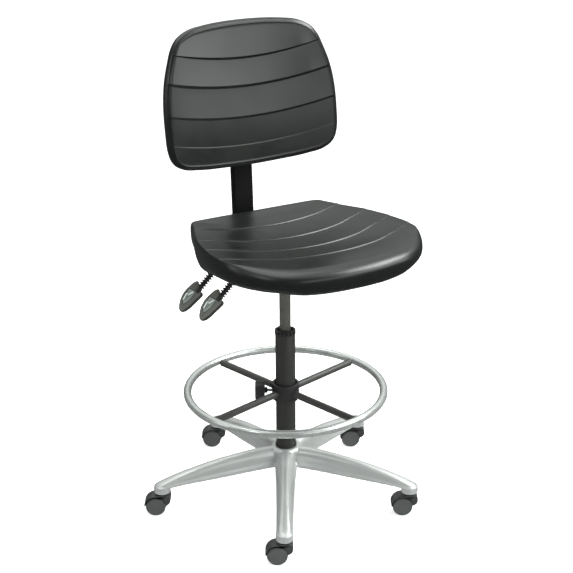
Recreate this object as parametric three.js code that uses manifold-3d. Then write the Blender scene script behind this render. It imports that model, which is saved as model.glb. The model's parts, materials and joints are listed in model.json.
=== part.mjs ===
// Drafting chair: cast five-leg base on twin-wheel casters, gas lift, sliding foot ring,
// tilting back arm, moulded seat and back pads.
// Millimetres, +Z up. The sitter faces -Y, and +X is the sitter's left.
// The origin lies on the floor, under the middle of the chair's bounding box.

import * as THREE from 'three';
import { mergeVertices } from 'three/addons/utils/BufferGeometryUtils.js';
import Module from 'manifold-3d';

const wasm = await Module();
wasm.setup();

// ---------------------------------------------------------------- driving dimensions

// The column's axis, seen from the origin.
const COLUMN_X = 21.6;
const COLUMN_Y = -7.9;

// Gap left between pieces that touch, and radial gap left between round pieces that run in each other.
const GAP = 0.35;

// Star base
const LEG_COUNT = 5;
const FIRST_LEG_DEG = -120.1;
const STEM_CIRCLE = 328;
const LEG_TIP_RADIUS = 21;
const BOSS_BOTTOM = 60;
const BOSS_TOP = 78;
const HUB_TOP = 140;
const HUB_BOTTOM = 88;
const HUB_RADIUS = 39;
// Distance from the column axis, half width, underside height and ridge height of a leg.
const LEG_STATIONS = [
  [12, 29, 94, 139],
  [60, 27, 92, 140],
  [120, 24, 88, 135],
  [190, 22, 83, 125],
  [255, 21, 80, 111],
  [298, 20.5, 77, 99],
  [STEM_CIRCLE, 20, 75, 88],
  [STEM_CIRCLE + 11, 16.5, 74, 84],
  [STEM_CIRCLE + 18, 9.5, 73, 79],
];

// Casters
const CASTER_TRAIL_DEG = 150.7;
const TRAIL = 17.5;
const WHEEL_RADIUS = 25;
const WHEEL_SIDES = 14;
const WHEEL_INNER = 6.6;
const WHEEL_OUTER = 18.6;
const WHEEL_FACE = 1.3;
const HOOD_HALF_WIDTH = 18;
const HOOD_RADIUS = 29;
const HOOD_TOP = 57;
const HOOD_DOME = 5;
const WEB_HALF_WIDTH = 6;
const STEM_RADIUS = 5.5;
const SWIVEL_PIN_RADIUS = 4;
const AXLE_RADIUS = 4;

// Gas lift
const COLUMN_RADIUS = 25;
const COLUMN_BOTTOM = 80;
const COLUMN_TOP = 450;
const BUSH_TOP = 462;
const TUBE_RADIUS = 14;
const TUBE_BOTTOM = 262;
const TUBE_TOP = 644;
const ROD_RADIUS = 5;

// Foot ring
const RING_RADIUS = 248;
const RING_TUBE_RADIUS = 10;
const RING_HEIGHT = 298;
const SPOKE_RADIUS = 8.8;
const SPOKE_HEIGHT = 294;
const SPOKE_COUNT = 4;
const FIRST_SPOKE_DEG = 15.3;
const RING_HUB_RADIUS = 34.5;
const RING_HUB_BOTTOM = 272;
const RING_HUB_TOP = 317;
const RING_KNOB_DEG = 150.3;
const RING_KNOB_HEIGHT = 295;

// Seat, in the seat's own frame: its zero height is the edge of the top face.
const SEAT_HEIGHT = 735;
const SEAT_TILT_DEG = -2.3;
const SEAT_UNDERSIDE = -66;
const SEAT_EDGE_RISE = 3;
const SEAT_BOARD = { halfWidth: 140, rear: 110, front: -190, thickness: 8.4 };
const SEAT_PLATE_THICKNESS = 4;

// Mechanism under the seat, in the seat's frame
const HOUSING_TOP = -71.2;
const HOUSING_BOTTOM = -112;
const HOUSING_HALF_WIDTH = 58;
const HOUSING_FRONT = -85;
const HOUSING_REAR = 112;
const HOUSING_WALL = 3;
const HOUSING_FLOOR_REAR = 72;

// Back arm, in the chair's frame
const PIVOT_Y = 60;
const PIVOT_Z = 642;
const PIVOT_PIN_RADIUS = 6;
const ARM_WIDTH = 58;
const ARM_THICKNESS = 18;
const ARM_BEND_Y = 165;
const ARM_BEND_RADIUS = 50;
const ARM_LEAN_DEG = 2.5;
const ARM_TOP = 1075;

// Back pad, in the back's own frame: its zero depth is the plane of the front edge.
const BACK_Y = 137;
const BACK_Z = 988;
const BACK_TILT_DEG = -7.6;
const BACK_HALF_WIDTH = 235;
const BACK_HOLLOW = 28;
const BACK_THICKNESS = 40;
const BACK_BOARD = { halfWidth: 72, halfHeight: 92, front: 56.5, rear: 64.5 };
const BRACKET_Z = 985;

// Levers on the sitter's right. Each rod runs level from its pivot to its bend, then down a slope.
const LEVER_SLOPE_DEG = 43.5;
const LEVER_ROD_RADIUS = 4;
const HEIGHT_LEVER = { y: -10, z: 640, bendX: -128 };
const TILT_LEVER = { y: 85, z: 631, bendX: -137 };
const BELLOWS_START = 28.5;
const BELLOWS_LENGTH = 43;
const PIN_TOP = 652;

// ---------------------------------------------------------------- materials

function finish(color, roughness, metalness) {
  return new THREE.MeshStandardMaterial({ color, roughness, metalness });
}
const castAluminium = finish(0xc9ccce, 0.28, 1);
const brightSteel = finish(0xc4c7c9, 0.2, 1);
const greySteel = finish(0x7d8083, 0.35, 1);
const blackPaint = finish(0x2b2a28, 0.5, 0);
const blackPlastic = finish(0x1d1e1e, 0.55, 0);
const casterPlastic = finish(0x3a3d3c, 0.5, 0);
const paddlePlastic = finish(0x55564f, 0.6, 0);
const padSkin = finish(0x171717, 0.45, 0);
const boardBlack = finish(0x141414, 0.7, 0);

// ---------------------------------------------------------------- solids

const radians = THREE.MathUtils.degToRad;

function signedVolume(geometry) {
  const position = geometry.getAttribute('position');
  const corners = geometry.index.array;
  const [a, b, c] = [new THREE.Vector3(), new THREE.Vector3(), new THREE.Vector3()];
  let volume = 0;
  for (let i = 0; i < corners.length; i += 3) {
    a.fromBufferAttribute(position, corners[i]);
    b.fromBufferAttribute(position, corners[i + 1]);
    c.fromBufferAttribute(position, corners[i + 2]);
    volume += a.dot(b.cross(c)) / 6;
  }
  return volume;
}

// Shared corners merged, empty triangles dropped and all faces pointing out.
function closedBody(geometry) {
  const bare = new THREE.BufferGeometry();
  bare.setAttribute('position', geometry.getAttribute('position').clone());
  if (geometry.index) bare.setIndex(geometry.index.clone());
  const merged = mergeVertices(bare, 1e-4);
  const corners = Array.from(merged.index.array);
  const kept = [];
  for (let i = 0; i < corners.length; i += 3) {
    const [a, b, c] = corners.slice(i, i + 3);
    if (a !== b && b !== c && c !== a) kept.push(a, b, c);
  }
  merged.setIndex(kept);
  if (signedVolume(merged) < 0) merged.setIndex(kept.reverse());
  return merged;
}

function toSolid(geometry) {
  const body = closedBody(geometry);
  const vertProperties = new Float32Array(body.getAttribute('position').array);
  const triVerts = new Uint32Array(body.index.array);
  return new wasm.Manifold(new wasm.Mesh({ numProp: 3, vertProperties, triVerts }));
}

function fromSolid(solid) {
  const cut = solid.getMesh();
  const geometry = new THREE.BufferGeometry();
  geometry.setAttribute('position', new THREE.BufferAttribute(new Float32Array(cut.vertProperties), 3));
  geometry.setIndex(Array.from(cut.triVerts));
  return geometry;
}

// The first geometry with the others joined to it and the cutters taken away.
function built(first, joined, cutters) {
  let solid = toSolid(first);
  for (const geometry of joined) solid = solid.add(toSolid(geometry));
  for (const geometry of cutters) solid = solid.subtract(toSolid(geometry));
  return fromSolid(solid);
}

// A turned piece about +Z, from a profile of [radius, height] corners.
function turned(profile, sides = 24) {
  const points = profile.map(([radius, height]) => new THREE.Vector2(radius, height));
  return closedBody(new THREE.LatheGeometry(points, sides).rotateX(Math.PI / 2));
}

// A ring or sleeve about +Z.
function sleeve(inner, outer, bottom, top, sides = 32) {
  return turned([[inner, bottom], [outer, bottom], [outer, top], [inner, top], [inner, bottom]], sides);
}

function rod(radius, bottom, top, sides = 16) {
  return turned([[0, bottom], [radius, bottom], [radius, top], [0, top]], sides);
}

function box(x0, x1, y0, y1, z0, z1) {
  const geometry = new THREE.BoxGeometry(x1 - x0, y1 - y0, z1 - z0);
  return geometry.translate((x0 + x1) / 2, (y0 + y1) / 2, (z0 + z1) / 2);
}

// A closed skin over rings that hold the same number of points, with its two ends capped.
function loft(rings) {
  const size = rings[0].length;
  const corners = rings.flat();
  for (const ring of [rings[0], rings[rings.length - 1]]) {
    const middle = ring.reduce((sum, point) => sum.add(point), new THREE.Vector3());
    corners.push(middle.divideScalar(size));
  }
  const faces = [];
  for (let i = 0; i < size; i += 1) {
    const next = (i + 1) % size;
    for (let k = 0; k < rings.length - 1; k += 1) {
      const [a, b] = [k * size + i, k * size + next];
      faces.push(a, b, b + size, a, b + size, a + size);
    }
    const last = (rings.length - 1) * size;
    faces.push(rings.length * size, next, i);
    faces.push(rings.length * size + 1, last + i, last + next);
  }
  const geometry = new THREE.BufferGeometry().setFromPoints(corners);
  geometry.setIndex(faces);
  return closedBody(geometry);
}

// A section of [sideways, upward] corners carried along a path that lies in one plane.
function swept(path, sideways, section) {
  const rings = path.map((point, i) => {
    const before = path[Math.max(i - 1, 0)];
    const after = path[Math.min(i + 1, path.length - 1)];
    const up = new THREE.Vector3().crossVectors(sideways, after.clone().sub(before).normalize());
    return section.map(([u, v]) => point.clone().addScaledVector(sideways, u).addScaledVector(up, v));
  });
  return loft(rings);
}

function circleSection(radius, sides) {
  return Array.from({ length: sides }, (_, i) => {
    const angle = (i + 0.5) * 2 * Math.PI / sides;
    return [radius * Math.cos(angle), radius * Math.sin(angle)];
  });
}

function roundedSection(width, height, radius, steps = 3) {
  const section = [];
  for (let quarter = 0; quarter < 4; quarter += 1) {
    const across = quarter === 0 || quarter === 3 ? 1 : -1;
    const up = quarter < 2 ? 1 : -1;
    for (let step = 0; step <= steps; step += 1) {
      const angle = (quarter + step / steps) * Math.PI / 2;
      section.push([
        across * (width / 2 - radius) + radius * Math.cos(angle),
        up * (height / 2 - radius) + radius * Math.sin(angle),
      ]);
    }
  }
  return section;
}

// A flat shape drawn in X and Z, standing with its thickness centred on Y.
function standing(shape, thickness, curveSegments = 8) {
  const geometry = new THREE.ExtrudeGeometry(shape, { depth: thickness, bevelEnabled: false, curveSegments });
  return closedBody(geometry.rotateX(Math.PI / 2).translate(0, thickness / 2, 0));
}

// ---------------------------------------------------------------- the chair's frames

const chair = new THREE.Group();
const aroundColumn = new THREE.Group();
aroundColumn.position.set(COLUMN_X, COLUMN_Y, 0);
chair.add(aroundColumn);

const seatFrame = new THREE.Group();
seatFrame.position.z = SEAT_HEIGHT;
seatFrame.rotation.x = radians(SEAT_TILT_DEG);
aroundColumn.add(seatFrame);

const backFrame = new THREE.Group();
backFrame.position.set(0, BACK_Y, BACK_Z);
backFrame.rotation.x = radians(BACK_TILT_DEG);
aroundColumn.add(backFrame);

function put(name, geometry, material, parent = aroundColumn) {
  const piece = new THREE.Mesh(geometry, material);
  piece.name = name;
  parent.add(piece);
  return piece;
}

// ---------------------------------------------------------------- star base

// One leg along +X: a narrow crown over flanks that flare out to a flat underside.
function legGeometry() {
  const rings = LEG_STATIONS.map(([x, halfWidth, underside, ridge]) => {
    const height = ridge - underside;
    const side = [
      [1, 0],
      [1, 0.22],
      [0.72, 0.6],
      [0.5, 0.9],
      [0.2, 1],
    ];
    const left = side.map(([u, v]) => new THREE.Vector3(x, u * halfWidth, underside + v * height));
    const right = left.map((point) => new THREE.Vector3(x, -point.y, point.z)).reverse();
    return [...left, ...right];
  });
  return loft(rings);
}

function addStarBase() {
  const joined = [];
  const sockets = [rod(COLUMN_RADIUS + GAP, HUB_BOTTOM - 10, HUB_TOP + 10, 32)];
  for (let i = 0; i < LEG_COUNT; i += 1) {
    const turn = radians(FIRST_LEG_DEG + i * 360 / LEG_COUNT);
    const atTip = (geometry) => geometry.translate(STEM_CIRCLE, 0, 0).rotateZ(turn);
    joined.push(legGeometry().rotateZ(turn), atTip(rod(LEG_TIP_RADIUS, BOSS_BOTTOM, BOSS_TOP, 20)));
    sockets.push(atTip(rod(STEM_RADIUS + GAP, BOSS_BOTTOM - 5, BOSS_TOP + 1, 12)));
  }
  const hub = turned([
    [0, HUB_BOTTOM], [HUB_RADIUS - 3, HUB_BOTTOM], [HUB_RADIUS + 2, HUB_BOTTOM + 8],
    [HUB_RADIUS, HUB_TOP - 5], [HUB_RADIUS - 5, HUB_TOP], [0, HUB_TOP],
  ], 24);
  put('star_base', built(hub, joined, sockets), castAluminium);
}

// ---------------------------------------------------------------- casters

// The hood's side view: a fender round the wheels that squares off over the stem.
function fenderShape() {
  const inner = WHEEL_RADIUS + 1.3;
  const shape = new THREE.Shape();
  const start = radians(8);
  shape.moveTo(TRAIL + HOOD_RADIUS * Math.cos(start), WHEEL_RADIUS + HOOD_RADIUS * Math.sin(start));
  shape.absarc(TRAIL, WHEEL_RADIUS, HOOD_RADIUS, start, radians(95), false);
  shape.quadraticCurveTo(6, HOOD_TOP, -2, HOOD_TOP);
  shape.lineTo(-14, HOOD_TOP);
  shape.quadraticCurveTo(-20.5, HOOD_TOP, -20.5, 50);
  shape.lineTo(-20.5, 40);
  shape.quadraticCurveTo(-19, 33, -11, 29);
  const end = Math.PI - radians(7);
  shape.lineTo(TRAIL + inner * Math.cos(end), WHEEL_RADIUS + inner * Math.sin(end));
  shape.absarc(TRAIL, WHEEL_RADIUS, inner, end, start, true);
  shape.closePath();
  return shape;
}

// The web between the wheels that carries the axle and the stem.
function webShape() {
  const reach = WHEEL_RADIUS + 2.3;
  const low = radians(-15);
  const shape = new THREE.Shape();
  shape.moveTo(TRAIL + reach * Math.cos(low), WHEEL_RADIUS + reach * Math.sin(low));
  shape.absarc(TRAIL, WHEEL_RADIUS, reach, low, Math.PI - low, false);
  shape.lineTo(TRAIL - 9, 12);
  shape.lineTo(TRAIL + 9, 12);
  shape.closePath();
  return shape;
}

// Everything above the hood's top, which falls away towards both of its sides.
function aboveTheDome() {
  const shape = new THREE.Shape();
  const side = HOOD_HALF_WIDTH + 2;
  shape.moveTo(-side, HOOD_TOP + 10);
  shape.lineTo(-side, HOOD_TOP - HOOD_DOME);
  shape.quadraticCurveTo(0, HOOD_TOP + HOOD_DOME, side, HOOD_TOP - HOOD_DOME);
  shape.lineTo(side, HOOD_TOP + 10);
  shape.closePath();
  return standing(shape, 100, 6).rotateZ(Math.PI / 2);
}

function hoodGeometry() {
  const alongY = (geometry) => geometry.rotateX(Math.PI / 2).translate(TRAIL, 0, WHEEL_RADIUS);
  const web = standing(webShape(), 2 * WEB_HALF_WIDTH, 5);
  const axleHole = alongY(rod(AXLE_RADIUS + GAP, -30, 30, 12));
  const pinHole = rod(SWIVEL_PIN_RADIUS + 0.4, 29, HOOD_TOP + 5, 12);
  return built(standing(fenderShape(), 2 * HOOD_HALF_WIDTH, 6), [web], [axleHole, pinHole, aboveTheDome()]);
}

// A cup-shaped wheel about +Z, with its closed face outward and a blind bore.
function wheelGeometry() {
  const tread = WHEEL_RADIUS / Math.cos(Math.PI / WHEEL_SIDES);
  const bore = AXLE_RADIUS + 0.5;
  return turned([
    [0, WHEEL_OUTER - WHEEL_FACE],
    [bore, WHEEL_OUTER - WHEEL_FACE],
    [bore, WHEEL_INNER],
    [9, WHEEL_INNER],
    [9, WHEEL_OUTER - 3.2],
    [21, WHEEL_OUTER - 3.2],
    [21, WHEEL_INNER],
    [tread, WHEEL_INNER],
    [tread, WHEEL_OUTER - 1.6],
    [tread - 1.6, WHEEL_OUTER],
    [0, WHEEL_OUTER],
  ], WHEEL_SIDES).rotateZ(Math.PI / WHEEL_SIDES);
}

function stemGeometry() {
  return turned([
    [0, 31], [SWIVEL_PIN_RADIUS, 31], [SWIVEL_PIN_RADIUS, HOOD_TOP + GAP], [10, HOOD_TOP + GAP],
    [10, BOSS_BOTTOM - GAP], [STEM_RADIUS, BOSS_BOTTOM - GAP], [STEM_RADIUS, BOSS_TOP - 1], [0, BOSS_TOP - 1],
  ], 12);
}

function addCasters() {
  for (let i = 0; i < LEG_COUNT; i += 1) {
    const number = i + 1;
    const caster = new THREE.Group();
    const turn = radians(FIRST_LEG_DEG + i * 360 / LEG_COUNT);
    caster.position.set(STEM_CIRCLE * Math.cos(turn), STEM_CIRCLE * Math.sin(turn), 0);
    caster.rotation.z = radians(CASTER_TRAIL_DEG);
    aroundColumn.add(caster);
    put(`caster_stem_${number}`, stemGeometry(), greySteel, caster);
    put(`caster_hood_${number}`, hoodGeometry(), casterPlastic, caster);
    const reach = WHEEL_OUTER - WHEEL_FACE - GAP;
    const axle = put(`caster_axle_${number}`, rod(AXLE_RADIUS, -reach, reach, 12), greySteel, caster);
    const left = put(`caster_wheel_left_${number}`, wheelGeometry(), casterPlastic, caster);
    const right = put(`caster_wheel_right_${number}`, wheelGeometry(), casterPlastic, caster);
    for (const piece of [axle, left, right]) piece.position.set(TRAIL, 0, WHEEL_RADIUS);
    axle.rotation.x = Math.PI / 2;
    left.rotation.x = Math.PI / 2;
    right.rotation.x = -Math.PI / 2;
  }
}

// ---------------------------------------------------------------- gas lift

function addGasLift() {
  const bore = COLUMN_RADIUS - 2;
  put('column_tube', turned([
    [ROD_RADIUS + 1, COLUMN_BOTTOM], [COLUMN_RADIUS - 1, COLUMN_BOTTOM], [COLUMN_RADIUS, HUB_TOP],
    [COLUMN_RADIUS, COLUMN_TOP], [bore, COLUMN_TOP], [bore, COLUMN_BOTTOM + 6],
    [ROD_RADIUS + 1, COLUMN_BOTTOM + 6], [ROD_RADIUS + 1, COLUMN_BOTTOM],
  ], 32), blackPaint);
  put('column_foot_ring', sleeve(COLUMN_RADIUS + 0.5, 27, HUB_TOP + GAP, HUB_TOP + 6, 24), blackPlastic);
  const runsIn = TUBE_RADIUS + 0.4;
  put('column_bush', turned([
    [runsIn, COLUMN_TOP - 60], [bore - GAP, COLUMN_TOP - 60], [bore - GAP, COLUMN_TOP + GAP],
    [COLUMN_RADIUS + 0.8, COLUMN_TOP + GAP], [COLUMN_RADIUS + 0.8, BUSH_TOP - 1.5],
    [COLUMN_RADIUS - 0.7, BUSH_TOP], [21, BUSH_TOP], [18.5, BUSH_TOP - 7], [runsIn, BUSH_TOP - 7],
    [runsIn, COLUMN_TOP - 60],
  ], 32), blackPlastic);
  const bearing = sleeve(ROD_RADIUS + 1, 14, COLUMN_BOTTOM + 6 + GAP, COLUMN_BOTTOM + 12, 20);
  put('thrust_bearing', bearing, greySteel);
  put('gas_piston_rod', turned([
    [0, 70], [ROD_RADIUS, 70], [ROD_RADIUS, COLUMN_BOTTOM + 12 + GAP], [9, COLUMN_BOTTOM + 12 + GAP],
    [9, COLUMN_BOTTOM + 16], [ROD_RADIUS, COLUMN_BOTTOM + 16], [ROD_RADIUS, 404],
    [11, 404], [11, 418], [0, 418],
  ], 16), brightSteel);
  put('retaining_clip', sleeve(ROD_RADIUS + GAP, 9, COLUMN_BOTTOM - 3, COLUMN_BOTTOM - GAP, 12), greySteel);
  const cavity = TUBE_RADIUS - 1.8;
  put('gas_pressure_tube', turned([
    [ROD_RADIUS + 0.6, TUBE_BOTTOM], [TUBE_RADIUS, TUBE_BOTTOM], [TUBE_RADIUS, TUBE_TOP - 46],
    [TUBE_RADIUS - 1, TUBE_TOP], [4.6, TUBE_TOP], [4.6, TUBE_TOP - 24], [cavity, TUBE_TOP - 24],
    [cavity, TUBE_BOTTOM + 14], [ROD_RADIUS + 0.6, TUBE_BOTTOM + 14], [ROD_RADIUS + 0.6, TUBE_BOTTOM],
  ], 24), greySteel);
  put('release_pin', rod(4, TUBE_TOP - 34, PIN_TOP, 12), brightSteel);
}

// ---------------------------------------------------------------- foot ring

function addFootRing() {
  const hoop = new THREE.TorusGeometry(RING_RADIUS, RING_TUBE_RADIUS, 8, 44);
  hoop.rotateZ(radians(FIRST_SPOKE_DEG)).translate(0, 0, RING_HEIGHT);
  put('foot_ring_tube', closedBody(hoop), brightSteel);

  const alongX = (geometry, height) => geometry.rotateY(Math.PI / 2).translate(0, 0, height);
  const knobTurn = radians(RING_KNOB_DEG);
  const cutters = [alongX(rod(4.6, 20, 60, 12), RING_KNOB_HEIGHT).rotateZ(knobTurn)];
  for (let i = 0; i < SPOKE_COUNT; i += 1) {
    const turn = radians(FIRST_SPOKE_DEG + i * 360 / SPOKE_COUNT);
    const spoke = alongX(rod(SPOKE_RADIUS, 29.5, RING_RADIUS - RING_TUBE_RADIUS - 1.1, 12), SPOKE_HEIGHT);
    put(`foot_ring_spoke_${i + 1}`, spoke.rotateZ(turn), blackPaint);
    cutters.push(alongX(rod(SPOKE_RADIUS + GAP, 29, 60, 12), SPOKE_HEIGHT).rotateZ(turn));
  }
  const bore = COLUMN_RADIUS + 2.4;
  const hub = turned([
    [bore, RING_HUB_BOTTOM], [RING_HUB_RADIUS - 2.5, RING_HUB_BOTTOM], [RING_HUB_RADIUS, RING_HUB_BOTTOM + 5],
    [RING_HUB_RADIUS, RING_HUB_TOP - 1.5], [RING_HUB_RADIUS - 1.5, RING_HUB_TOP],
    [bore + 1.5, RING_HUB_TOP], [bore, RING_HUB_TOP - 1.5], [bore, RING_HUB_BOTTOM],
  ], 32);
  put('foot_ring_hub', built(hub, [], cutters), blackPlastic);
  const bush = sleeve(COLUMN_RADIUS + 0.4, bore - 0.4, RING_HUB_BOTTOM + 2, RING_HUB_TOP - 7);
  put('foot_ring_bush', bush, blackPlastic);

  const stud = alongX(rod(4, bore + 0.3, 60, 12), RING_KNOB_HEIGHT).rotateZ(knobTurn);
  put('foot_ring_knob_stud', stud, brightSteel);
  put('foot_ring_knob', alongX(knobGeometry(25.5, 52, 77), RING_KNOB_HEIGHT).rotateZ(knobTurn), blackPlastic);
}

// A lobed hand knob about +Z with a small boss and a blind hole on its near side.
function knobGeometry(radius, near, far) {
  const lobes = 8;
  const outline = (scale) => Array.from({ length: lobes * 4 }, (_, i) => {
    const wave = [1, 1, 0.93, 0.93][i % 4];
    const angle = i * 2 * Math.PI / (lobes * 4);
    return new THREE.Vector2(Math.cos(angle), Math.sin(angle)).multiplyScalar(radius * wave * scale);
  });
  const rings = [[near + 1, 0.94], [near + 3, 1], [far - 3, 1], [far, 0.9]].map(([height, scale]) => (
    outline(scale).map((point) => new THREE.Vector3(point.x, point.y, height))
  ));
  const boss = rod(7.5, near - 6, near + 4, 16);
  return built(loft(rings), [boss], [rod(4 + GAP, near - 10, near + 9, 12)]);
}

// ---------------------------------------------------------------- seat

// Half of the seat's plan on +X, from the rear edge to the front: tight rear corners and a bowed nose.
function seatHalfOutline() {
  const rear = [[0, 151], [60, 151], [120, 150.5], [163, 149.5], [177, 147], [185, 141], [189, 130]];
  const side = new THREE.SplineCurve([
    [195, 112], [206, 84], [238, 0], [255, -80], [260, -135], [256, -192], [231, -250], [184, -303],
    [100, -338], [0, -348],
  ].map(([x, y]) => new THREE.Vector2(x, y)));
  return [...rear.map(([x, y]) => new THREE.Vector2(x, y)), ...side.getSpacedPoints(14)];
}

const mirroredOutline = (half) => {
  const otherHalf = half.slice(1, -1).map(({ x, y }) => new THREE.Vector2(-x, y)).reverse();
  return [...half, ...otherHalf];
};

// The outline moved inward, by an amount that may depend on the place.
function inset(outline, amount) {
  return outline.map((point, i) => {
    const before = outline[(i + outline.length - 1) % outline.length];
    const after = outline[(i + 1) % outline.length];
    const along = new THREE.Vector2().subVectors(after, before).normalize();
    const inward = new THREE.Vector2(along.y, -along.x);
    return point.clone().addScaledVector(inward, amount(point));
  });
}

function seatPadGeometry() {
  const outline = mirroredOutline(seatHalfOutline());
  const frontness = ({ y }) => THREE.MathUtils.smoothstep(-y, 190, 330);
  // Height, inset at the sides and rear, and further inset at the nose.
  const levels = [
    [SEAT_UNDERSIDE, 22, 12], [-60, 12, 8], [-46, 4, 3], [-26, 0, 0], [-12, 0.5, 6], [-3, 2.5, 15],
    [0, 7, 28],
  ];
  // The top edge stands a little higher at the sides and rear than at the nose.
  const heightAt = (height, point) => height + (height > -10 ? SEAT_EDGE_RISE * (1 - frontness(point)) : 0);
  const rings = levels.map(([height, side, nose]) => (
    inset(outline, (point) => side + nose * frontness(point))
      .map((point) => new THREE.Vector3(point.x, point.y, heightAt(height, point)))
  ));
  const dished = outline.map(({ x, y }) => new THREE.Vector3(x * 0.6, y * 0.6 - 20, -9));
  rings.push(dished);
  const { halfWidth, rear, front } = SEAT_BOARD;
  const pocket = box(
    -halfWidth - GAP, halfWidth + GAP, front - GAP, rear + GAP,
    SEAT_UNDERSIDE - 5, SEAT_UNDERSIDE + SEAT_BOARD.thickness + GAP,
  );
  return built(loft(rings), [], [pocket]);
}

function addSeat() {
  const { halfWidth, rear, front, thickness } = SEAT_BOARD;
  put('seat_pad', seatPadGeometry(), padSkin, seatFrame);
  const board = box(-halfWidth, halfWidth, front, rear, SEAT_UNDERSIDE, SEAT_UNDERSIDE + thickness);
  put('seat_board', board, boardBlack, seatFrame);
  const plateTop = SEAT_UNDERSIDE - GAP;
  const plate = box(-95, 95, -105, 120 - GAP, plateTop - SEAT_PLATE_THICKNESS, plateTop);
  put('seat_plate', plate, blackPaint, seatFrame);
}

// ---------------------------------------------------------------- mechanism

function housingGeometry() {
  const wide = HOUSING_HALF_WIDTH;
  const wall = HOUSING_WALL;
  const shell = box(-wide, wide, HOUSING_FRONT, HOUSING_REAR, HOUSING_BOTTOM, HOUSING_TOP);
  const inside = wide - wall;
  const hollow = box(-inside, inside, HOUSING_FRONT + wall, HOUSING_REAR + 10, HOUSING_BOTTOM + wall, 0);
  const rearFloor = box(-inside, inside, HOUSING_FLOOR_REAR, HOUSING_REAR + 10, HOUSING_BOTTOM - 10, 0);
  const intoSeatFrame = (geometry) => geometry.translate(0, 0, -SEAT_HEIGHT).rotateX(-radians(SEAT_TILT_DEG));
  const acrossX = (radius, y, z, from, to) => (
    intoSeatFrame(rod(radius, from, to, 12).rotateY(Math.PI / 2).translate(0, y, z))
  );
  const socketHole = intoSeatFrame(rod(19 + GAP, 560, 640, 24));
  return built(shell, [], [
    hollow,
    rearFloor,
    socketHole,
    acrossX(PIVOT_PIN_RADIUS + GAP, PIVOT_Y, PIVOT_Z, -80, 80),
    acrossX(6.5, HEIGHT_LEVER.y, HEIGHT_LEVER.z, -80, -40),
    acrossX(6.5, TILT_LEVER.y, TILT_LEVER.z, -80, -40),
  ]);
}

function addMechanism() {
  put('mechanism_housing', housingGeometry(), blackPaint, seatFrame);
  put('taper_socket', turned([
    [TUBE_RADIUS + GAP, 596], [19, 596], [19, 645], [TUBE_RADIUS - 1 + GAP, 645],
    [TUBE_RADIUS - 1 + GAP, TUBE_TOP], [TUBE_RADIUS + GAP, 598], [TUBE_RADIUS + GAP, 596],
  ], 24), blackPaint);
  const head = HOUSING_HALF_WIDTH + GAP;
  put('back_pivot_pin', turned([
    [0, -head - 3], [9, -head - 3], [9, -head], [PIVOT_PIN_RADIUS, -head],
    [PIVOT_PIN_RADIUS, head], [9, head], [9, head + 3], [0, head + 3],
  ], 16).rotateY(Math.PI / 2).translate(0, PIVOT_Y, PIVOT_Z), brightSteel);
}

// ---------------------------------------------------------------- levers

const leverSlope = radians(LEVER_SLOPE_DEG);
const downTheSlope = new THREE.Vector3(-Math.cos(leverSlope), 0, -Math.sin(leverSlope));
// Which way the paddles' broad faces look, before they are squared to the slope.
const PADDLE_FACING = new THREE.Vector3(-0.3, -0.85, 0.42);

// Turns a piece modelled along +Z so that it points down the lever's slope.
function downSlope(geometry, start) {
  const turn = new THREE.Quaternion().setFromUnitVectors(new THREE.Vector3(0, 0, 1), downTheSlope);
  return geometry.applyQuaternion(turn).translate(start.x, start.y, start.z);
}

function bellowsGeometry() {
  const folds = 6;
  const fold = BELLOWS_LENGTH / folds;
  const profile = [[LEVER_ROD_RADIUS + GAP, 0]];
  for (let i = 0; i < folds; i += 1) {
    profile.push([5.6, i * fold], [8.2, (i + 0.5) * fold]);
  }
  profile.push([5.8, BELLOWS_LENGTH], [LEVER_ROD_RADIUS + GAP, BELLOWS_LENGTH], [LEVER_ROD_RADIUS + GAP, 0]);
  return turned(profile, 8);
}

// A spade-shaped handle along +Z: widest near its neck, with a rounded tip. Its flat faces look along Y.
function paddleGeometry() {
  const shape = new THREE.Shape();
  shape.moveTo(-8, 0);
  shape.quadraticCurveTo(-20, 2, -22.5, 13);
  shape.bezierCurveTo(-22, 36, -17, 61, -10, 73);
  shape.quadraticCurveTo(-3, 80, 4, 73);
  shape.bezierCurveTo(12, 60, 15.5, 36, 15.5, 14);
  shape.quadraticCurveTo(14, 3, 7, 0);
  shape.closePath();
  const blade = standing(shape, 11, 6);
  return built(blade, [], [rod(LEVER_ROD_RADIUS + GAP, -5, 22, 12)]);
}

// innerPath is the rod's path inside the housing, joined a list of solids fused to the rod.
function addLever(name, { y, z, bendX }, innerPath, joined) {
  const at = (x, height) => new THREE.Vector3(x, y, height);
  const downFromBend = (distance) => at(bendX, z).addScaledVector(downTheSlope, distance);
  const paddleStart = downFromBend(BELLOWS_START + BELLOWS_LENGTH + 1);
  const path = [
    ...innerPath.map(([x, height]) => at(x, height)),
    at(bendX + 7, z),
    downFromBend(0.7).add(new THREE.Vector3(0.5, 0, -0.8)),
    downFromBend(7),
    downFromBend(BELLOWS_START + BELLOWS_LENGTH + 21),
  ];
  const bar = swept(path, new THREE.Vector3(0, 1, 0), circleSection(LEVER_ROD_RADIUS, 8));
  put(`${name}_rod`, built(bar, joined, []), greySteel);
  put(`${name}_bellows`, downSlope(bellowsGeometry(), downFromBend(BELLOWS_START)), blackPlastic);

  const paddle = put(`${name}_paddle`, paddleGeometry(), paddlePlastic);
  const face = PADDLE_FACING.clone().projectOnPlane(downTheSlope).normalize();
  const across = new THREE.Vector3().crossVectors(face, downTheSlope);
  paddle.quaternion.setFromRotationMatrix(new THREE.Matrix4().makeBasis(across, face, downTheSlope));
  paddle.position.copy(paddleStart);
}

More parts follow.
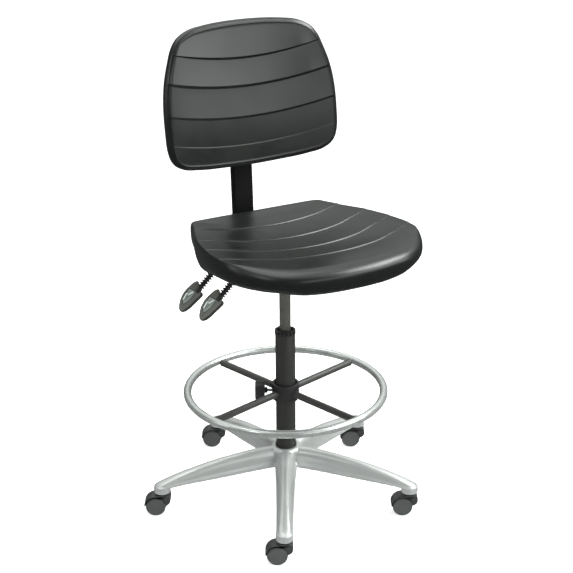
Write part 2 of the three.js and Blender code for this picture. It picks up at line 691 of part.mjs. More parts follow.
function addLevers() {
  const { y, z } = HEIGHT_LEVER;
  const pressZ = PIN_TOP + GAP + LEVER_ROD_RADIUS;
  const press = box(-6, 8, y - 4, 8, PIN_TOP + GAP, PIN_TOP + GAP + 6);
  const overThePin = [[2, pressZ], [-24, pressZ], [-30, pressZ - 2], [-42, z + 2], [-48, z]];
  addLever('height_lever', HEIGHT_LEVER, overThePin, [press]);
  addLever('tilt_lever', TILT_LEVER, [[-36, TILT_LEVER.z]], []);
}

// ---------------------------------------------------------------- back arm, bracket and pad

const armLean = radians(ARM_LEAN_DEG);
const armUp = new THREE.Vector3(0, Math.sin(armLean), Math.cos(armLean));
const armBendEnd = new THREE.Vector3(
  0,
  ARM_BEND_Y + ARM_BEND_RADIUS * Math.cos(armLean),
  PIVOT_Z + ARM_BEND_RADIUS - ARM_BEND_RADIUS * Math.sin(armLean),
);

// The middle of the upright at a height.
const armAt = (z) => armBendEnd.clone().addScaledVector(armUp, (z - armBendEnd.z) / armUp.z);

function backArmGeometry() {
  const path = [new THREE.Vector3(0, PIVOT_Y - 6, PIVOT_Z)];
  const bendSteps = 7;
  for (let i = 0; i <= bendSteps; i += 1) {
    const angle = (Math.PI / 2 - armLean) * i / bendSteps;
    path.push(new THREE.Vector3(
      0,
      ARM_BEND_Y + ARM_BEND_RADIUS * Math.sin(angle),
      PIVOT_Z + ARM_BEND_RADIUS * (1 - Math.cos(angle)),
    ));
  }
  path.push(armAt(ARM_TOP));
  const bar = swept(path, new THREE.Vector3(1, 0, 0), roundedSection(ARM_WIDTH, ARM_THICKNESS, 7));
  const across = (radius, reach) => (
    rod(radius, -reach, reach, 20).rotateY(Math.PI / 2).translate(0, PIVOT_Y, PIVOT_Z)
  );
  return built(bar, [across(13.5, ARM_WIDTH / 2)], [across(PIVOT_PIN_RADIUS + GAP, 60)]);
}

// A sleeve on the upright, joined to the plate that the back board is bolted to.
function bracketGeometry() {
  const middle = armAt(BRACKET_Z);
  const onArm = (geometry) => geometry.rotateX(-armLean).translate(middle.x, middle.y, middle.z);
  const halfHeight = 35;
  const block = onArm(box(-38, 38, -34, 15, -halfHeight, halfHeight));
  const slot = onArm(box(
    -ARM_WIDTH / 2 - 0.5, ARM_WIDTH / 2 + 0.5, -ARM_THICKNESS / 2 - 0.5, ARM_THICKNESS / 2 + 0.5, -60, 60,
  ));
  const studHole = onArm(rod(4.5, -30, 0, 12).rotateX(Math.PI / 2));
  const plateFront = BACK_BOARD.rear + GAP;
  const plate = box(-55, 55, plateFront, plateFront + 4, -52, 52);
  const ahead = box(-200, 200, -200, plateFront, -200, 200);
  const inChair = (geometry) => geometry.rotateX(radians(BACK_TILT_DEG)).translate(0, BACK_Y, BACK_Z);
  return built(block, [inChair(plate)], [slot, studHole, inChair(ahead)]);
}

function backOutline() {
  const half = new THREE.SplineCurve([
    [0, 219], [75, 216.5], [143, 207.5], [183, 188], [198, 168], [211, 136], [225, 91], [233, 32],
    [235, -29], [234, -62], [227, -95], [200, -118], [150, -128], [75, -133.5], [0, -135.5],
  ].map(([x, z]) => new THREE.Vector2(x, z)));
  return mirroredOutline(half.getSpacedPoints(20));
}

function backPadGeometry() {
  const outline = backOutline();
  const hollow = (x) => BACK_HOLLOW * (1 - (x / BACK_HALF_WIDTH) ** 2);
  const scaled = (points, scale) => (
    points.map(({ x, y }) => new THREE.Vector2(x * scale, (y - 40) * scale + 40))
  );
  // Depth, inset from the outline and scale of each ring.
  const levels = [
    [0, 20, 0.35], [0, 20, 0.7], [0, 11, 1], [2.5, 4, 1], [8, 0, 1], [20, 0, 1], [27, 5, 1], [31, 15, 1],
    [BACK_THICKNESS - 2, 20, 0.75], [BACK_THICKNESS, 20, 0.4],
  ];
  const rings = levels.map(([depth, amount, scale]) => (
    scaled(inset(outline, () => amount), scale).map(({ x, y }) => new THREE.Vector3(x, depth + hollow(x), y))
  ));
  const { halfWidth, halfHeight, front } = BACK_BOARD;
  const wide = halfWidth + GAP;
  const high = halfHeight + GAP;
  const pocket = box(-wide, wide, front - GAP, 120, -high, high);
  return built(loft(rings), [], [pocket]);
}

function addBack() {
  put('back_arm', backArmGeometry(), blackPaint);
  put('back_bracket', bracketGeometry(), blackPaint);
  const { halfWidth, halfHeight, front, rear } = BACK_BOARD;
  put('back_board', box(-halfWidth, halfWidth, front, rear, -halfHeight, halfHeight), boardBlack, backFrame);
  put('back_pad', backPadGeometry(), padSkin, backFrame);
  const knob = put('back_height_knob', backKnobGeometry(), blackPlastic);
  knob.position.copy(armAt(BRACKET_Z));
  knob.rotation.x = -armLean - Math.PI / 2;
}

// The knob behind the bracket with its own short stud.
function backKnobGeometry() {
  return built(knobGeometry(19, 24, 38), [rod(4, 9.6, 34, 12)], []);
}

addStarBase();
addCasters();
addGasLift();
addFootRing();
addSeat();
addMechanism();
addLevers();
addBack();

export default chair;
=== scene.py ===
import json
from math import cos, pi, radians, sin

import bmesh
import bpy
from mathutils import Matrix, Vector


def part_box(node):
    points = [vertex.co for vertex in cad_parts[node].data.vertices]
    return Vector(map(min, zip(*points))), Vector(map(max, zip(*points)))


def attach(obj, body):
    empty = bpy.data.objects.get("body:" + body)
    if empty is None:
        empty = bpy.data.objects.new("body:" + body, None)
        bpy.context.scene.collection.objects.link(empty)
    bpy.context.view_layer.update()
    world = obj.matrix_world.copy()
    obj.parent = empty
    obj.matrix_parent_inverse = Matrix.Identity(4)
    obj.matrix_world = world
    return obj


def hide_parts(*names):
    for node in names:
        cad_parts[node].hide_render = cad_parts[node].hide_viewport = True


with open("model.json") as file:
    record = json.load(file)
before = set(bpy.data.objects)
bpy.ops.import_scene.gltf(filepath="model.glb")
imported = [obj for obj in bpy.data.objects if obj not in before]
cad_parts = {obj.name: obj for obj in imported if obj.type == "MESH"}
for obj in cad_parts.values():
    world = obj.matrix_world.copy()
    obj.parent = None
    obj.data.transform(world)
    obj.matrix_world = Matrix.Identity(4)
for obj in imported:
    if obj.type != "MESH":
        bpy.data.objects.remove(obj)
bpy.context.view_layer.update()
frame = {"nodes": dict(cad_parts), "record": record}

# Lengths are in millimetres, in the chair's frame: the column's axis is x = y = 0, the floor is z = 0, the
# sitter faces -Y and +X is the sitter's left. IN_ROW carries them into the row frame, in metres.

low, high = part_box("column_tube")
COLUMN = Vector(((low[0] + high[0]) / 2, (low[1] + high[1]) / 2, 0))
IN_ROW = Matrix.Translation(COLUMN) @ Matrix.Scale(0.001, 4)

LEG_TURNS = [radians(-120.1 + 72 * i) for i in range(5)]
STEM_CIRCLE = 328
CASTER_TURN = radians(150.7)
TRAIL = 17.5
WHEEL_RADIUS = 25

RING_RADIUS, RING_TUBE, RING_HEIGHT = 248, 10, 298
SPOKE_TURNS = [radians(15.3 + 90 * i) for i in range(4)]
SPOKE_RADIUS, SPOKE_HEIGHT = 8.8, 294
KNOB_TURN, KNOB_HEIGHT = radians(150.3), 295

SEAT_FRAME = Matrix.Translation((0, 0, 735)) @ Matrix.Rotation(radians(-2.3), 4, "X")
BACK_FRAME = Matrix.Translation((0, 137, 988)) @ Matrix.Rotation(radians(-7.6), 4, "X")
ARM_LEAN = radians(2.5)
ARM_BEND = Vector((0, 165, 642))
ARM_BEND_RADIUS = 50
ARM_FOOT_Y = 54
ARM_PIVOT = (0, 60, 642)
ARM_TOP = 1075
BRACKET_Z = 985

LEVER_SLOPE = radians(43.5)
LEVERS = {
    "height_lever": {"y": -10, "z": 640, "bend": -128},
    "tilt_lever": {"y": 85, "z": 631, "bend": -137},
}


# ---------------------------------------------------------------- mesh helpers
# A mesh is a pair: a list of Vectors and a list of faces that index it.

def smoothstep(value, start, end):
    t = min(max((value - start) / (end - start), 0), 1)
    return t * t * (3 - 2 * t)


def joined(*meshes):
    verts, faces = [], []
    for more_verts, more_faces in meshes:
        faces += [[i + len(verts) for i in face] for face in more_faces]
        verts += more_verts
    return verts, faces


def moved(mesh, matrix):
    return [matrix @ v for v in mesh[0]], mesh[1]


def lathe(profile, sides=64):
    """A turned mesh about +Z. The profile of (radius, height) corners closes at the axis or on itself."""
    ring_of = []
    verts = []
    for radius, height in profile:
        if radius < 1e-6:
            ring_of.append([len(verts)] * sides)
            verts.append(Vector((0, 0, height)))
        else:
            ring_of.append(list(range(len(verts), len(verts) + sides)))
            for k in range(sides):
                a = 2 * pi * k / sides
                verts.append(Vector((radius * cos(a), radius * sin(a), height)))
    faces = []
    closed = profile[0][0] > 1e-6
    last = len(profile) if closed else len(profile) - 1
    for i in range(last):
        a_ring, b_ring = ring_of[i], ring_of[(i + 1) % len(profile)]
        for k in range(sides):
            n = (k + 1) % sides
            face = [a_ring[k], a_ring[n], b_ring[n], b_ring[k]]
            unique = list(dict.fromkeys(face))
            if len(unique) > 2:
                faces.append(unique)
    return verts, faces


def loft(rings, capped=(True, True)):
    size = len(rings[0])
    verts = [v for ring in rings for v in ring]
    faces = []
    for k in range(len(rings) - 1):
        for i in range(size):
            n = (i + 1) % size
            faces.append([k * size + i, k * size + n, (k + 1) * size + n, (k + 1) * size + i])
    if capped[0]:
        faces.append(list(reversed(range(size))))
    if capped[1]:
        faces.append([(len(rings) - 1) * size + i for i in range(size)])
    return verts, faces


def swept(path, sideways, section, scales=None):
    rings = []
    for i, point in enumerate(path):
        along = (path[min(i + 1, len(path) - 1)] - path[max(i - 1, 0)]).normalized()
        up = sideways.cross(along)
        scale = scales[i] if scales else 1
        rings.append([point + sideways * u * scale + up * v * scale for u, v in section])
    return loft(rings)


def circle(radius, sides=32):
    return [(radius * cos(2 * pi * k / sides), radius * sin(2 * pi * k / sides)) for k in range(sides)]


def rounded_rectangle(half_width, half_height, radius, steps=6):
    points = []
    for quarter, (side_x, side_y) in enumerate([(1, 1), (-1, 1), (-1, -1), (1, -1)]):
        middle = Vector((side_x * (half_width - radius), side_y * (half_height - radius)))
        for step in range(steps + 1):
            a = (quarter + step / steps) * pi / 2
            points.append((middle.x + radius * cos(a), middle.y + radius * sin(a)))
    return points


def box(x0, x1, y0, y1, z0, z1):
    ring = [(x0, y0), (x1, y0), (x1, y1), (x0, y1)]
    return loft([[Vector((x, y, z)) for x, y in ring] for z in (z0, z1)])


def extruded(outline, near, far):
    """A flat outline in X and Z, given a thickness from near to far along Y."""
    return loft([[Vector((x, y, z)) for x, z in outline] for y in (near, far)])


def eased(t, start, start_slope, end, end_slope):
    """A cubic from start to end with the given slopes, for t from 0 to 1. It takes numbers or Vectors."""
    return (start * (2 * t ** 3 - 3 * t ** 2 + 1) + start_slope * (t ** 3 - 2 * t ** 2 + t)
            + end * (-2 * t ** 3 + 3 * t ** 2) + end_slope * (t ** 3 - t ** 2))


def spline(points, count):
    """count points at even distances on a smooth curve through (x, y) points, level at both ends."""
    points = [Vector(p) for p in points]
    at = [0]
    for a, b in zip(points, points[1:]):
        at.append(at[-1] + (b - a).length)
    slopes = []
    for i, point in enumerate(points):
        before, after = max(i - 1, 0), min(i + 1, len(points) - 1)
        if 0 < i < len(points) - 1:
            near = (point - points[before]) / (at[i] - at[before])
            far = (points[after] - point) / (at[after] - at[i])
            weight = (at[i] - at[before]) / (at[after] - at[before])
            slopes.append(near * (1 - weight) + far * weight)
        else:
            slopes.append(Vector(((points[after] - points[before]).x, 0)).normalized())
    dense = []
    for i in range(len(points) - 1):
        span = at[i + 1] - at[i]
        for step in range(24):
            dense.append(eased(step / 24, points[i], slopes[i] * span, points[i + 1], slopes[i + 1] * span))
    dense.append(points[-1])
    lengths = [0]
    for a, b in zip(dense, dense[1:]):
        lengths.append(lengths[-1] + (b - a).length)
    result, k = [], 0
    for i in range(count):
        want = lengths[-1] * i / (count - 1)
        while k < len(dense) - 2 and lengths[k + 1] < want:
            k += 1
        share = (want - lengths[k]) / max(lengths[k + 1] - lengths[k], 1e-9)
        result.append(dense[k].lerp(dense[k + 1], min(share, 1)))
    return result


def interpolated(table, x):
    """The value at x on a smooth curve through the table's (x, value) rows."""
    rows = sorted(table)
    if x <= rows[0][0]:
        return rows[0][1]
    if x >= rows[-1][0]:
        return rows[-1][1]
    i = max(k for k in range(len(rows) - 1) if rows[k][0] <= x)
    (x1, y1), (x2, y2) = rows[i], rows[i + 1]
    x0, y0 = rows[i - 1] if i > 0 else (x1, y1)
    x3, y3 = rows[i + 2] if i + 2 < len(rows) else (x2, y2)
    m1 = (y2 - y0) / (x2 - x0)
    m2 = (y3 - y1) / (x3 - x1)
    span = x2 - x1
    return eased((x - x1) / span, y1, m1 * span, y2, m2 * span)


# ---------------------------------------------------------------- pieces

def shade_smooth(obj, sharp_degrees=35):
    for polygon in obj.data.polygons:
        polygon.use_smooth = True
    obj.data.set_sharp_from_angle(angle=radians(sharp_degrees))


def bevelled(obj, width, segments=3, angle=35):
    modifier = obj.modifiers.new("rounded edges", "BEVEL")
    modifier.width = width / 1000
    modifier.segments = segments
    modifier.limit_method = "ANGLE"
    modifier.angle_limit = radians(angle)
    modifier.harden_normals = False
    return obj


def plain_object(name, mesh):
    data = bpy.data.meshes.new(name)
    verts, faces = mesh
    data.from_pydata([tuple(v) for v in verts], [], faces)
    work = bmesh.new()
    work.from_mesh(data)
    bmesh.ops.recalc_face_normals(work, faces=work.faces)
    work.to_mesh(data)
    work.free()
    obj = bpy.data.objects.new(name, data)
    bpy.context.scene.collection.objects.link(obj)
    return obj


def piece(name, mesh, body, material, stands_for=(), where=Matrix.Identity(4), sharp=35):
    obj = plain_object(name, moved(mesh, IN_ROW @ where))
    obj.data.materials.append(material)
    shade_smooth(obj, sharp)
    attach(obj, body)
    if stands_for:
        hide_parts(*stands_for)
    return obj


def apply_modifiers(obj):
    graph = bpy.context.evaluated_depsgraph_get()
    data = bpy.data.meshes.new_from_object(obj.evaluated_get(graph))
    obj.modifiers.clear()
    obj.data = data
    return obj


def cut(obj, *cutters):
    """Takes the cutter meshes, given in the chair's frame, out of obj."""
    for number, mesh in enumerate(cutters):
        tool = plain_object(f"cutter_{number}", moved(mesh, IN_ROW))
        modifier = obj.modifiers.new("cut", "BOOLEAN")
        modifier.object = tool
        modifier.operation = "DIFFERENCE"
        modifier.solver = "EXACT"
        apply_modifiers(obj)
        bpy.data.objects.remove(tool)
    return obj


# ---------------------------------------------------------------- materials

ROUGHNESS_SPREAD = 0.08
GRAIN_DEPTH = 0.0002


def material(name, color, roughness, metallic=0.0, specular=0.5, grain=900, bump=0.15, mottle=0.12):
    """A surface whose colour and roughness drift over centimetres and whose bump is a fine grain."""
    made = bpy.data.materials.new(name)
    made.use_nodes = True
    nodes, links = made.node_tree.nodes, made.node_tree.links
    shader = nodes["Principled BSDF"]
    shader.inputs["Metallic"].default_value = metallic
    shader.inputs["Specular IOR Level"].default_value = specular

    coordinates = nodes.new("ShaderNodeTexCoord")
    drift = nodes.new("ShaderNodeTexNoise")
    drift.inputs["Scale"].default_value = 14
    drift.inputs["Detail"].default_value = 4
    links.new(coordinates.outputs["Object"], drift.inputs["Vector"])

    fine = nodes.new("ShaderNodeTexNoise")
    fine.inputs["Scale"].default_value = grain
    fine.inputs["Detail"].default_value = 3
    links.new(coordinates.outputs["Object"], fine.inputs["Vector"])

    ramp = nodes.new("ShaderNodeValToRGB")
    ramp.color_ramp.elements[0].position = 0.3
    ramp.color_ramp.elements[1].position = 0.7
    ramp.color_ramp.elements[0].color = (*(c * (1 - mottle) for c in color), 1)
    ramp.color_ramp.elements[1].color = (*(min(c * (1 + mottle), 1) for c in color), 1)
    links.new(drift.outputs["Fac"], ramp.inputs["Fac"])
    links.new(ramp.outputs["Color"], shader.inputs["Base Color"])

    blend = nodes.new("ShaderNodeMath")
    blend.operation = "ADD"
    links.new(drift.outputs["Fac"], blend.inputs[0])
    links.new(fine.outputs["Fac"], blend.inputs[1])
    spread = nodes.new("ShaderNodeMapRange")
    spread.inputs["From Min"].default_value = 0.6
    spread.inputs["From Max"].default_value = 1.4
    spread.inputs["To Min"].default_value = roughness - ROUGHNESS_SPREAD
    spread.inputs["To Max"].default_value = roughness + ROUGHNESS_SPREAD
    links.new(blend.outputs[0], spread.inputs["Value"])
    links.new(spread.outputs["Result"], shader.inputs["Roughness"])

    relief = nodes.new("ShaderNodeBump")
    relief.inputs["Strength"].default_value = bump
    relief.inputs["Distance"].default_value = GRAIN_DEPTH
    links.new(fine.outputs["Fac"], relief.inputs["Height"])
    links.new(relief.outputs["Normal"], shader.inputs["Normal"])
    return made


SKIN = material("moulded skin", (0.0062, 0.0073, 0.0066), 0.33, specular=0.62, grain=1400, bump=0.25,
                mottle=0.1)
BOARD = material("moulded board", (0.012, 0.012, 0.012), 0.6, grain=500, bump=0.3)
CAST = material("satin casting", (0.62, 0.63, 0.625), 0.34, metallic=0.48, grain=700, bump=0.12, mottle=0.03)
CHROME = material("satin chrome", (0.64, 0.66, 0.65), 0.27, metallic=0.7, grain=1200, bump=0.01, mottle=0.01)
STEEL = material("grey steel", (0.3, 0.3, 0.28), 0.32, metallic=0.8, grain=900, bump=0.1, mottle=0.06)
PAINT = material("charcoal paint", (0.05, 0.05, 0.046), 0.42, grain=1100, bump=0.25, mottle=0.08)
COLUMN_PAINT = material("column paint", (0.03, 0.0305, 0.028), 0.42, grain=1100, bump=0.25, mottle=0.08)
ARM_PAINT = material("arm paint", (0.005, 0.0055, 0.005), 0.42, specular=0.2, grain=1100, bump=0.25,
                     mottle=0.08)
PLASTIC = material("black plastic", (0.022, 0.022, 0.022), 0.45, grain=1500, bump=0.2, mottle=0.1)
WHEEL = material("wheel plastic", (0.085, 0.09, 0.088), 0.38, grain=1600, bump=0.12, mottle=0.1)
CASTER = material("caster plastic", (0.045, 0.048, 0.046), 0.35, grain=1600, bump=0.12, mottle=0.1)
# A darker copy of the lever plastic, for the paddle's back, sides and step: painted shade.
LEVER_SHADED_SIDE = material("lever plastic, painted shade", (0.035, 0.036, 0.032), 0.45, grain=1300, bump=0.2, mottle=0.1)
LEVER = material("lever plastic", (0.13, 0.132, 0.12), 0.4, grain=1300, bump=0.2, mottle=0.1)
PLATE = material("printed plate", (0.27, 0.3, 0.285), 0.3, grain=900, bump=0.05, mottle=0.05)
# Near-black: painted shade in the gap round each lever's plate, and the dark print of the plate's hatching.
GAP_SHADE_AND_PRINT = material("painted gap shade and dark print", (0.006, 0.006, 0.006), 0.7, grain=900, bump=0.1)
MARK = material("light print", (0.78, 0.82, 0.8), 0.4, grain=900, bump=0.05, mottle=0.03)

SLOT_MATERIALS = {
    "cast_aluminium": CAST, "bright_steel": CHROME, "grey_steel": STEEL, "black_paint": PAINT,
    "black_plastic": PLASTIC, "lever_plastic": LEVER, "caster_plastic": CASTER, "pad_skin": SKIN,
    "board_black": BOARD,
}


def dress_cad_nodes():
    """Every CAD node gets the procedural material of its slot, and sharp sheet parts get rounded edges."""
    slots = {row["node"]: row["material_slot"] for row in frame["record"]["subparts"]}
    for name, obj in frame["nodes"].items():
        obj.data.materials.clear()
        obj.data.materials.append(SLOT_MATERIALS[slots[name]])
    for name in ("seat_board", "back_board", "seat_plate", "mechanism_housing", "back_bracket"):
        bevelled(frame["nodes"][name], 1.2, 2)


# ---------------------------------------------------------------- star base and casters

def turned_to(turn, radius=0, height=0):
    """Matrix that places a piece modelled along +X at an angle round the column."""
    return Matrix.Rotation(turn, 4, "Z") @ Matrix.Translation((radius, 0, height))


# Distance from the column axis, half width, underside height and ridge height of a leg.
LEG_STATIONS = [
    (14, 29, 94, 139), (60, 27, 92, 140), (120, 24, 88, 135), (190, 22, 83, 125), (255, 21, 80, 111),
    (298, 20.5, 77, 99), (328, 20, 75, 88), (339, 16.5, 74, 84), (346, 9.5, 73, 79),
]
# Share of the half width and of the height, from the flange up the concave flank to the crown.
LEG_FLANK = [
    (1, 0), (1, 0.14), (0.97, 0.2), (0.88, 0.26), (0.83, 0.34), (0.8, 0.48), (0.74, 0.66), (0.63, 0.81),
    (0.47, 0.92), (0.25, 0.985), (0.08, 1),
]


def leg_mesh():
    rings = []
    root, tip = LEG_STATIONS[0][0], LEG_STATIONS[-1][0]
    columns = [[(station[0], station[k]) for station in LEG_STATIONS] for k in (1, 2, 3)]
    for step in range(61):
        x = root + (tip - root) * step / 60
        half_width, underside, ridge = (interpolated(column, x) for column in columns)
        right = [Vector((x, -u * half_width, underside + v * (ridge - underside))) for u, v in LEG_FLANK]
        left = [Vector((x, -v.y, v.z)) for v in reversed(right)]
        rings.append(right + left)
    return loft(rings)


def star_base():
    solids = [lathe([(0, 88), (36, 88), (41, 96), (40, 132), (37, 138), (33, 140), (0, 140)])]
    boss = lathe([(0, 60), (20, 60), (21, 61), (21, 76), (19, 79), (0, 80)], 48)
    for turn in LEG_TURNS:
        solids += [moved(leg_mesh(), turned_to(turn)), moved(boss, turned_to(turn, STEM_CIRCLE))]
    obj = piece("star_base_casting", joined(*solids), "base", CAST, ["star_base"])
    remesh = obj.modifiers.new("one skin", "REMESH")
    remesh.mode = "VOXEL"
    remesh.voxel_size = 0.0016
    fillet = obj.modifiers.new("cast fillets", "SMOOTH")
    fillet.iterations = 6
    fillet.factor = 0.5
    apply_modifiers(obj)
    sockets = [moved(lathe([(0, 50), (5.85, 50), (5.85, 79), (0, 79)], 32), turned_to(turn, STEM_CIRCLE))
               for turn in LEG_TURNS]
    bore = lathe([(0, 70), (25.35, 70), (25.35, 150), (0, 150)])
    cut(obj, joined(bore, *sockets))
    shade_smooth(obj, 40)


def fender_outline():
    """The hood's side view about the swivel axis: an arc over the wheels that squares off over the stem."""
    outer, inner = 29, 26.3
    points = []
    for step in range(25):
        a = radians(4 + 92 * step / 24)
        points.append((TRAIL + outer * cos(a), WHEEL_RADIUS + outer * sin(a)))
    points += [(6, 56.4), (-2, 57), (-11, 57), (-16, 55.5), (-19.5, 51.5), (-20.5, 46), (-20.3, 40)]
    points += [(-18, 34), (-12, 29)]
    for step in range(33):
        a = radians(173 - 169 * step / 32)
        points.append((TRAIL + inner * cos(a), WHEEL_RADIUS + inner * sin(a)))
    return points


def add_casters():
    hood = extruded(fender_outline(), -18, 18)
    web_turns = [radians(a) for a in range(-15, 196, 5)]
    web_outline = [(TRAIL + 27 * cos(a), WHEEL_RADIUS + 27 * sin(a)) for a in web_turns]
    web = extruded([*web_outline, (TRAIL - 9, 12), (TRAIL + 9, 12)], -6, 6)
    tread = WHEEL_RADIUS
    wheel = lathe([
        (0, 17.3), (4.5, 17.3), (4.5, 6.6), (9, 6.6), (9, 15.4), (21, 15.4), (21, 6.6), (tread - 0.8, 6.6),
        (tread, 7.6), (tread, 15.8), (tread - 0.7, 17.6), (tread - 2.2, 18.4), (22, 18.4), (21.6, 17.9),
        (21, 17.9), (20.5, 18.3), (8, 18.6), (0, 18.6),
    ], 72)
    stem = lathe([
        (0, 31), (4, 31), (4, 57.4), (9, 57.4), (10, 58), (10, 59.1), (9.3, 59.6), (5.5, 59.6), (5.5, 76),
        (4.5, 77), (0, 77),
    ], 40)
    for number, turn in enumerate(LEG_TURNS, 1):
        at_stem = turned_to(turn, STEM_CIRCLE) @ Matrix.Rotation(CASTER_TURN - turn, 4, "Z")
        shell = piece(f"caster_hood_shell_{number}", joined(hood, web), f"caster_{number}", CASTER,
                      [f"caster_hood_{number}"], at_stem)
        bevelled(shell, 2.6, 4, 50)
        piece(f"caster_stem_turned_{number}", stem, "base", STEEL, [f"caster_stem_{number}"],
              at_stem)
        at_axle = at_stem @ Matrix.Translation((TRAIL, 0, WHEEL_RADIUS))
        for side, flip in (("left", 1), ("right", -1)):
            on_axle = at_axle @ Matrix.Rotation(flip * pi / 2, 4, "X")
            piece(f"caster_tread_{side}_{number}", wheel, f"wheel_{side}_{number}", WHEEL,
                  [f"caster_wheel_{side}_{number}"], on_axle)


# ---------------------------------------------------------------- gas lift

BUSH_SLOTS = 16


def gas_lift():
    piece("column_shell", lathe([
        (6, 80), (23.4, 80), (24, 80.6), (24.9, 140), (25, 141), (25, 449), (24.4, 450), (23.4, 450),
        (23, 449.4), (23, 86), (6, 86),
    ], 96), "base", COLUMN_PAINT, ["column_tube"])
    collar = lathe([(25.5, 140.4), (27, 140.4), (27, 145), (26.2, 146), (25.5, 146)], 72)
    piece("column_collar", collar, "base", PLASTIC, ["column_foot_ring"])
    bush = piece("column_guide_bush", lathe([
        (14.4, 390), (22.6, 390), (22.6, 450.4), (25.8, 450.4), (26.2, 450.9), (26.2, 461.2), (25.6, 461.9),
        (24.8, 462), (21.4, 462), (20.6, 461.2), (18.6, 455), (14.6, 455), (14.4, 454.6),
    ], 96), "base", PLASTIC, ["column_bush"])
    slot = box(22.4, 30, -1.7, 1.7, 454.5, 470)
    slots = [moved(slot, Matrix.Rotation(2 * pi * k / BUSH_SLOTS, 4, "Z")) for k in range(BUSH_SLOTS)]
    cut(bush, joined(*slots))
    shade_smooth(bush)
    piece("gas_tube_shell", lathe([
        (5.6, 262), (13, 262), (14, 263), (14, 598), (13, 643.4), (12.4, 644), (4.6, 644), (4.6, 620),
        (12.2, 620), (12.2, 276), (5.6, 276),
    ], 72), "seat", STEEL, ["gas_pressure_tube"])


# ---------------------------------------------------------------- foot ring

def ring_mesh():
    verts, faces = [], []
    around, across = 192, 24
    for i in range(around):
        a = 2 * pi * i / around
        for k in range(across):
            b = 2 * pi * k / across
            reach = RING_RADIUS + RING_TUBE * cos(b)
            verts.append(Vector((reach * cos(a), reach * sin(a), RING_HEIGHT + RING_TUBE * sin(b))))
            i2, k2 = (i + 1) % around, (k + 1) % across
            faces.append([i * across + k, i2 * across + k, i2 * across + k2, i * across + k2])
    return verts, faces


def knob_mesh(radius, near, far, lobes=8, ribs=5):
    """A hand knob about +Z: ribbed lobes, a dished far face and a small boss on the near one."""
    sides = lobes * 24

    def outline(scale, depth):
        points = []
        for k in range(sides):
            a = 2 * pi * k / sides
            lobe = 0.965 + 0.035 * cos(lobes * a)
            rib = 0.011 * (cos(lobes * ribs * a) > 0)
            points.append((a, radius * scale * (lobe - depth * rib)))
        return points

    # Share of the radius, share of the ribs' depth, and height.
    levels = [
        (0.86, 0, near + 1), (0.95, 0.3, near + 1.4), (1, 1, near + 3), (1, 1, far - 3.5),
        (0.96, 0.4, far - 1), (0.9, 0, far), (0.8, 0, far), (0.74, 0, far - 1.2), (0.3, 0, far - 1.6),
    ]
    rings = []
    for scale, depth, z in levels:
        rings.append([Vector((r * cos(a), r * sin(a), z)) for a, r in outline(scale, depth)])
    boss = lathe([(4.4, near - 5.6), (7, near - 5.6), (7.5, near - 5), (7.5, near + 2), (4.4, near + 2)], 40)
    return joined(loft(rings), boss)


def foot_ring():
    piece("foot_ring_hoop", ring_mesh(), "ring_frame", CHROME, ["foot_ring_tube"])
    along_x = Matrix.Rotation(pi / 2, 4, "Y")
    end = RING_RADIUS - RING_TUBE - 1.1
    spoke = lathe([(0, 29.5), (SPOKE_RADIUS, 29.5), (SPOKE_RADIUS, end - 4), (SPOKE_RADIUS + 0.6, end - 2.4),
                   (SPOKE_RADIUS + 0.7, end - 0.6), (SPOKE_RADIUS, end), (0, end)], 40)
    for number, turn in enumerate(SPOKE_TURNS, 1):
        piece(f"foot_ring_spoke_bar_{number}", spoke, "ring_frame", PAINT,
              [f"foot_ring_spoke_{number}"], turned_to(turn, 0, SPOKE_HEIGHT) @ along_x)
    bore = 27.4
    hub = piece("foot_ring_hub_shell", lathe([
        (bore, 272), (31.4, 272), (32.2, 272.5), (34.2, 277.4), (34.5, 279), (34.5, 314.8), (33.9, 316.4),
        (32.8, 317), (29.6, 317), (28.6, 316.4), (28, 315), (bore, 312),
    ], 96), "ring_frame", PLASTIC, ["foot_ring_hub"])
    hole = lathe([(0, 29), (9.15, 29), (9.15, 60), (0, 60)], 40)
    holes = [moved(hole, turned_to(turn, 0, SPOKE_HEIGHT) @ along_x) for turn in SPOKE_TURNS]
    at_knob = turned_to(KNOB_TURN, 0, KNOB_HEIGHT) @ along_x
    holes.append(moved(lathe([(0, 20), (4.6, 20), (4.6, 60), (0, 60)], 32), at_knob))
    cut(hub, joined(*holes))
    shade_smooth(hub)
    sleeve = lathe([(25.4, 274), (27, 274), (27, 309), (26.4, 310), (25.4, 310)], 72)
    piece("foot_ring_sleeve", sleeve, "ring_carrier", PLASTIC, ["foot_ring_bush"])
    piece("foot_ring_hand_knob", knob_mesh(25.3, 52, 77), "ring_knob", PLASTIC,
          ["foot_ring_knob"], at_knob, 30)
    stud = lathe([(0, 27.7), (3.4, 27.7), (4, 28.3), (4, 60), (0, 60)], 40)
    piece("foot_ring_stud", stud, "ring_knob", CHROME, ["foot_ring_knob_stud"], at_knob)


# ---------------------------------------------------------------- pads
# Both pads are drawn in their own flat frame: x across, y towards the seat's rear edge or the back's top edge,
# and z out of the face. Rows of the face run from side to side and follow the moulded steps.

def half_outline(points, count=400):
    """The +X half of a pad's outline as (point, outward direction) pairs, from its upper end to its lower."""
    curve = spline(points, count)
    pairs = []
    for i, point in enumerate(curve):
        along = curve[min(i + 1, count - 1)] - curve[max(i - 1, 0)]
        if i in (0, count - 1):
            along.y = 0
        pairs.append((point, Vector((-along.y, along.x)).normalized()))
    return pairs


def at_share(curve, position):
    """The pair at a fractional place in a list of (point, direction) pairs."""
    i = min(int(position), len(curve) - 2)
    share = position - i
    return curve[i][0].lerp(curve[i + 1][0], share), curve[i][1].lerp(curve[i + 1][1], share).normalized()


def place_where(curve, test):
    for i, pair in enumerate(curve):
        if test(*pair):
            return i
    return len(curve) - 1


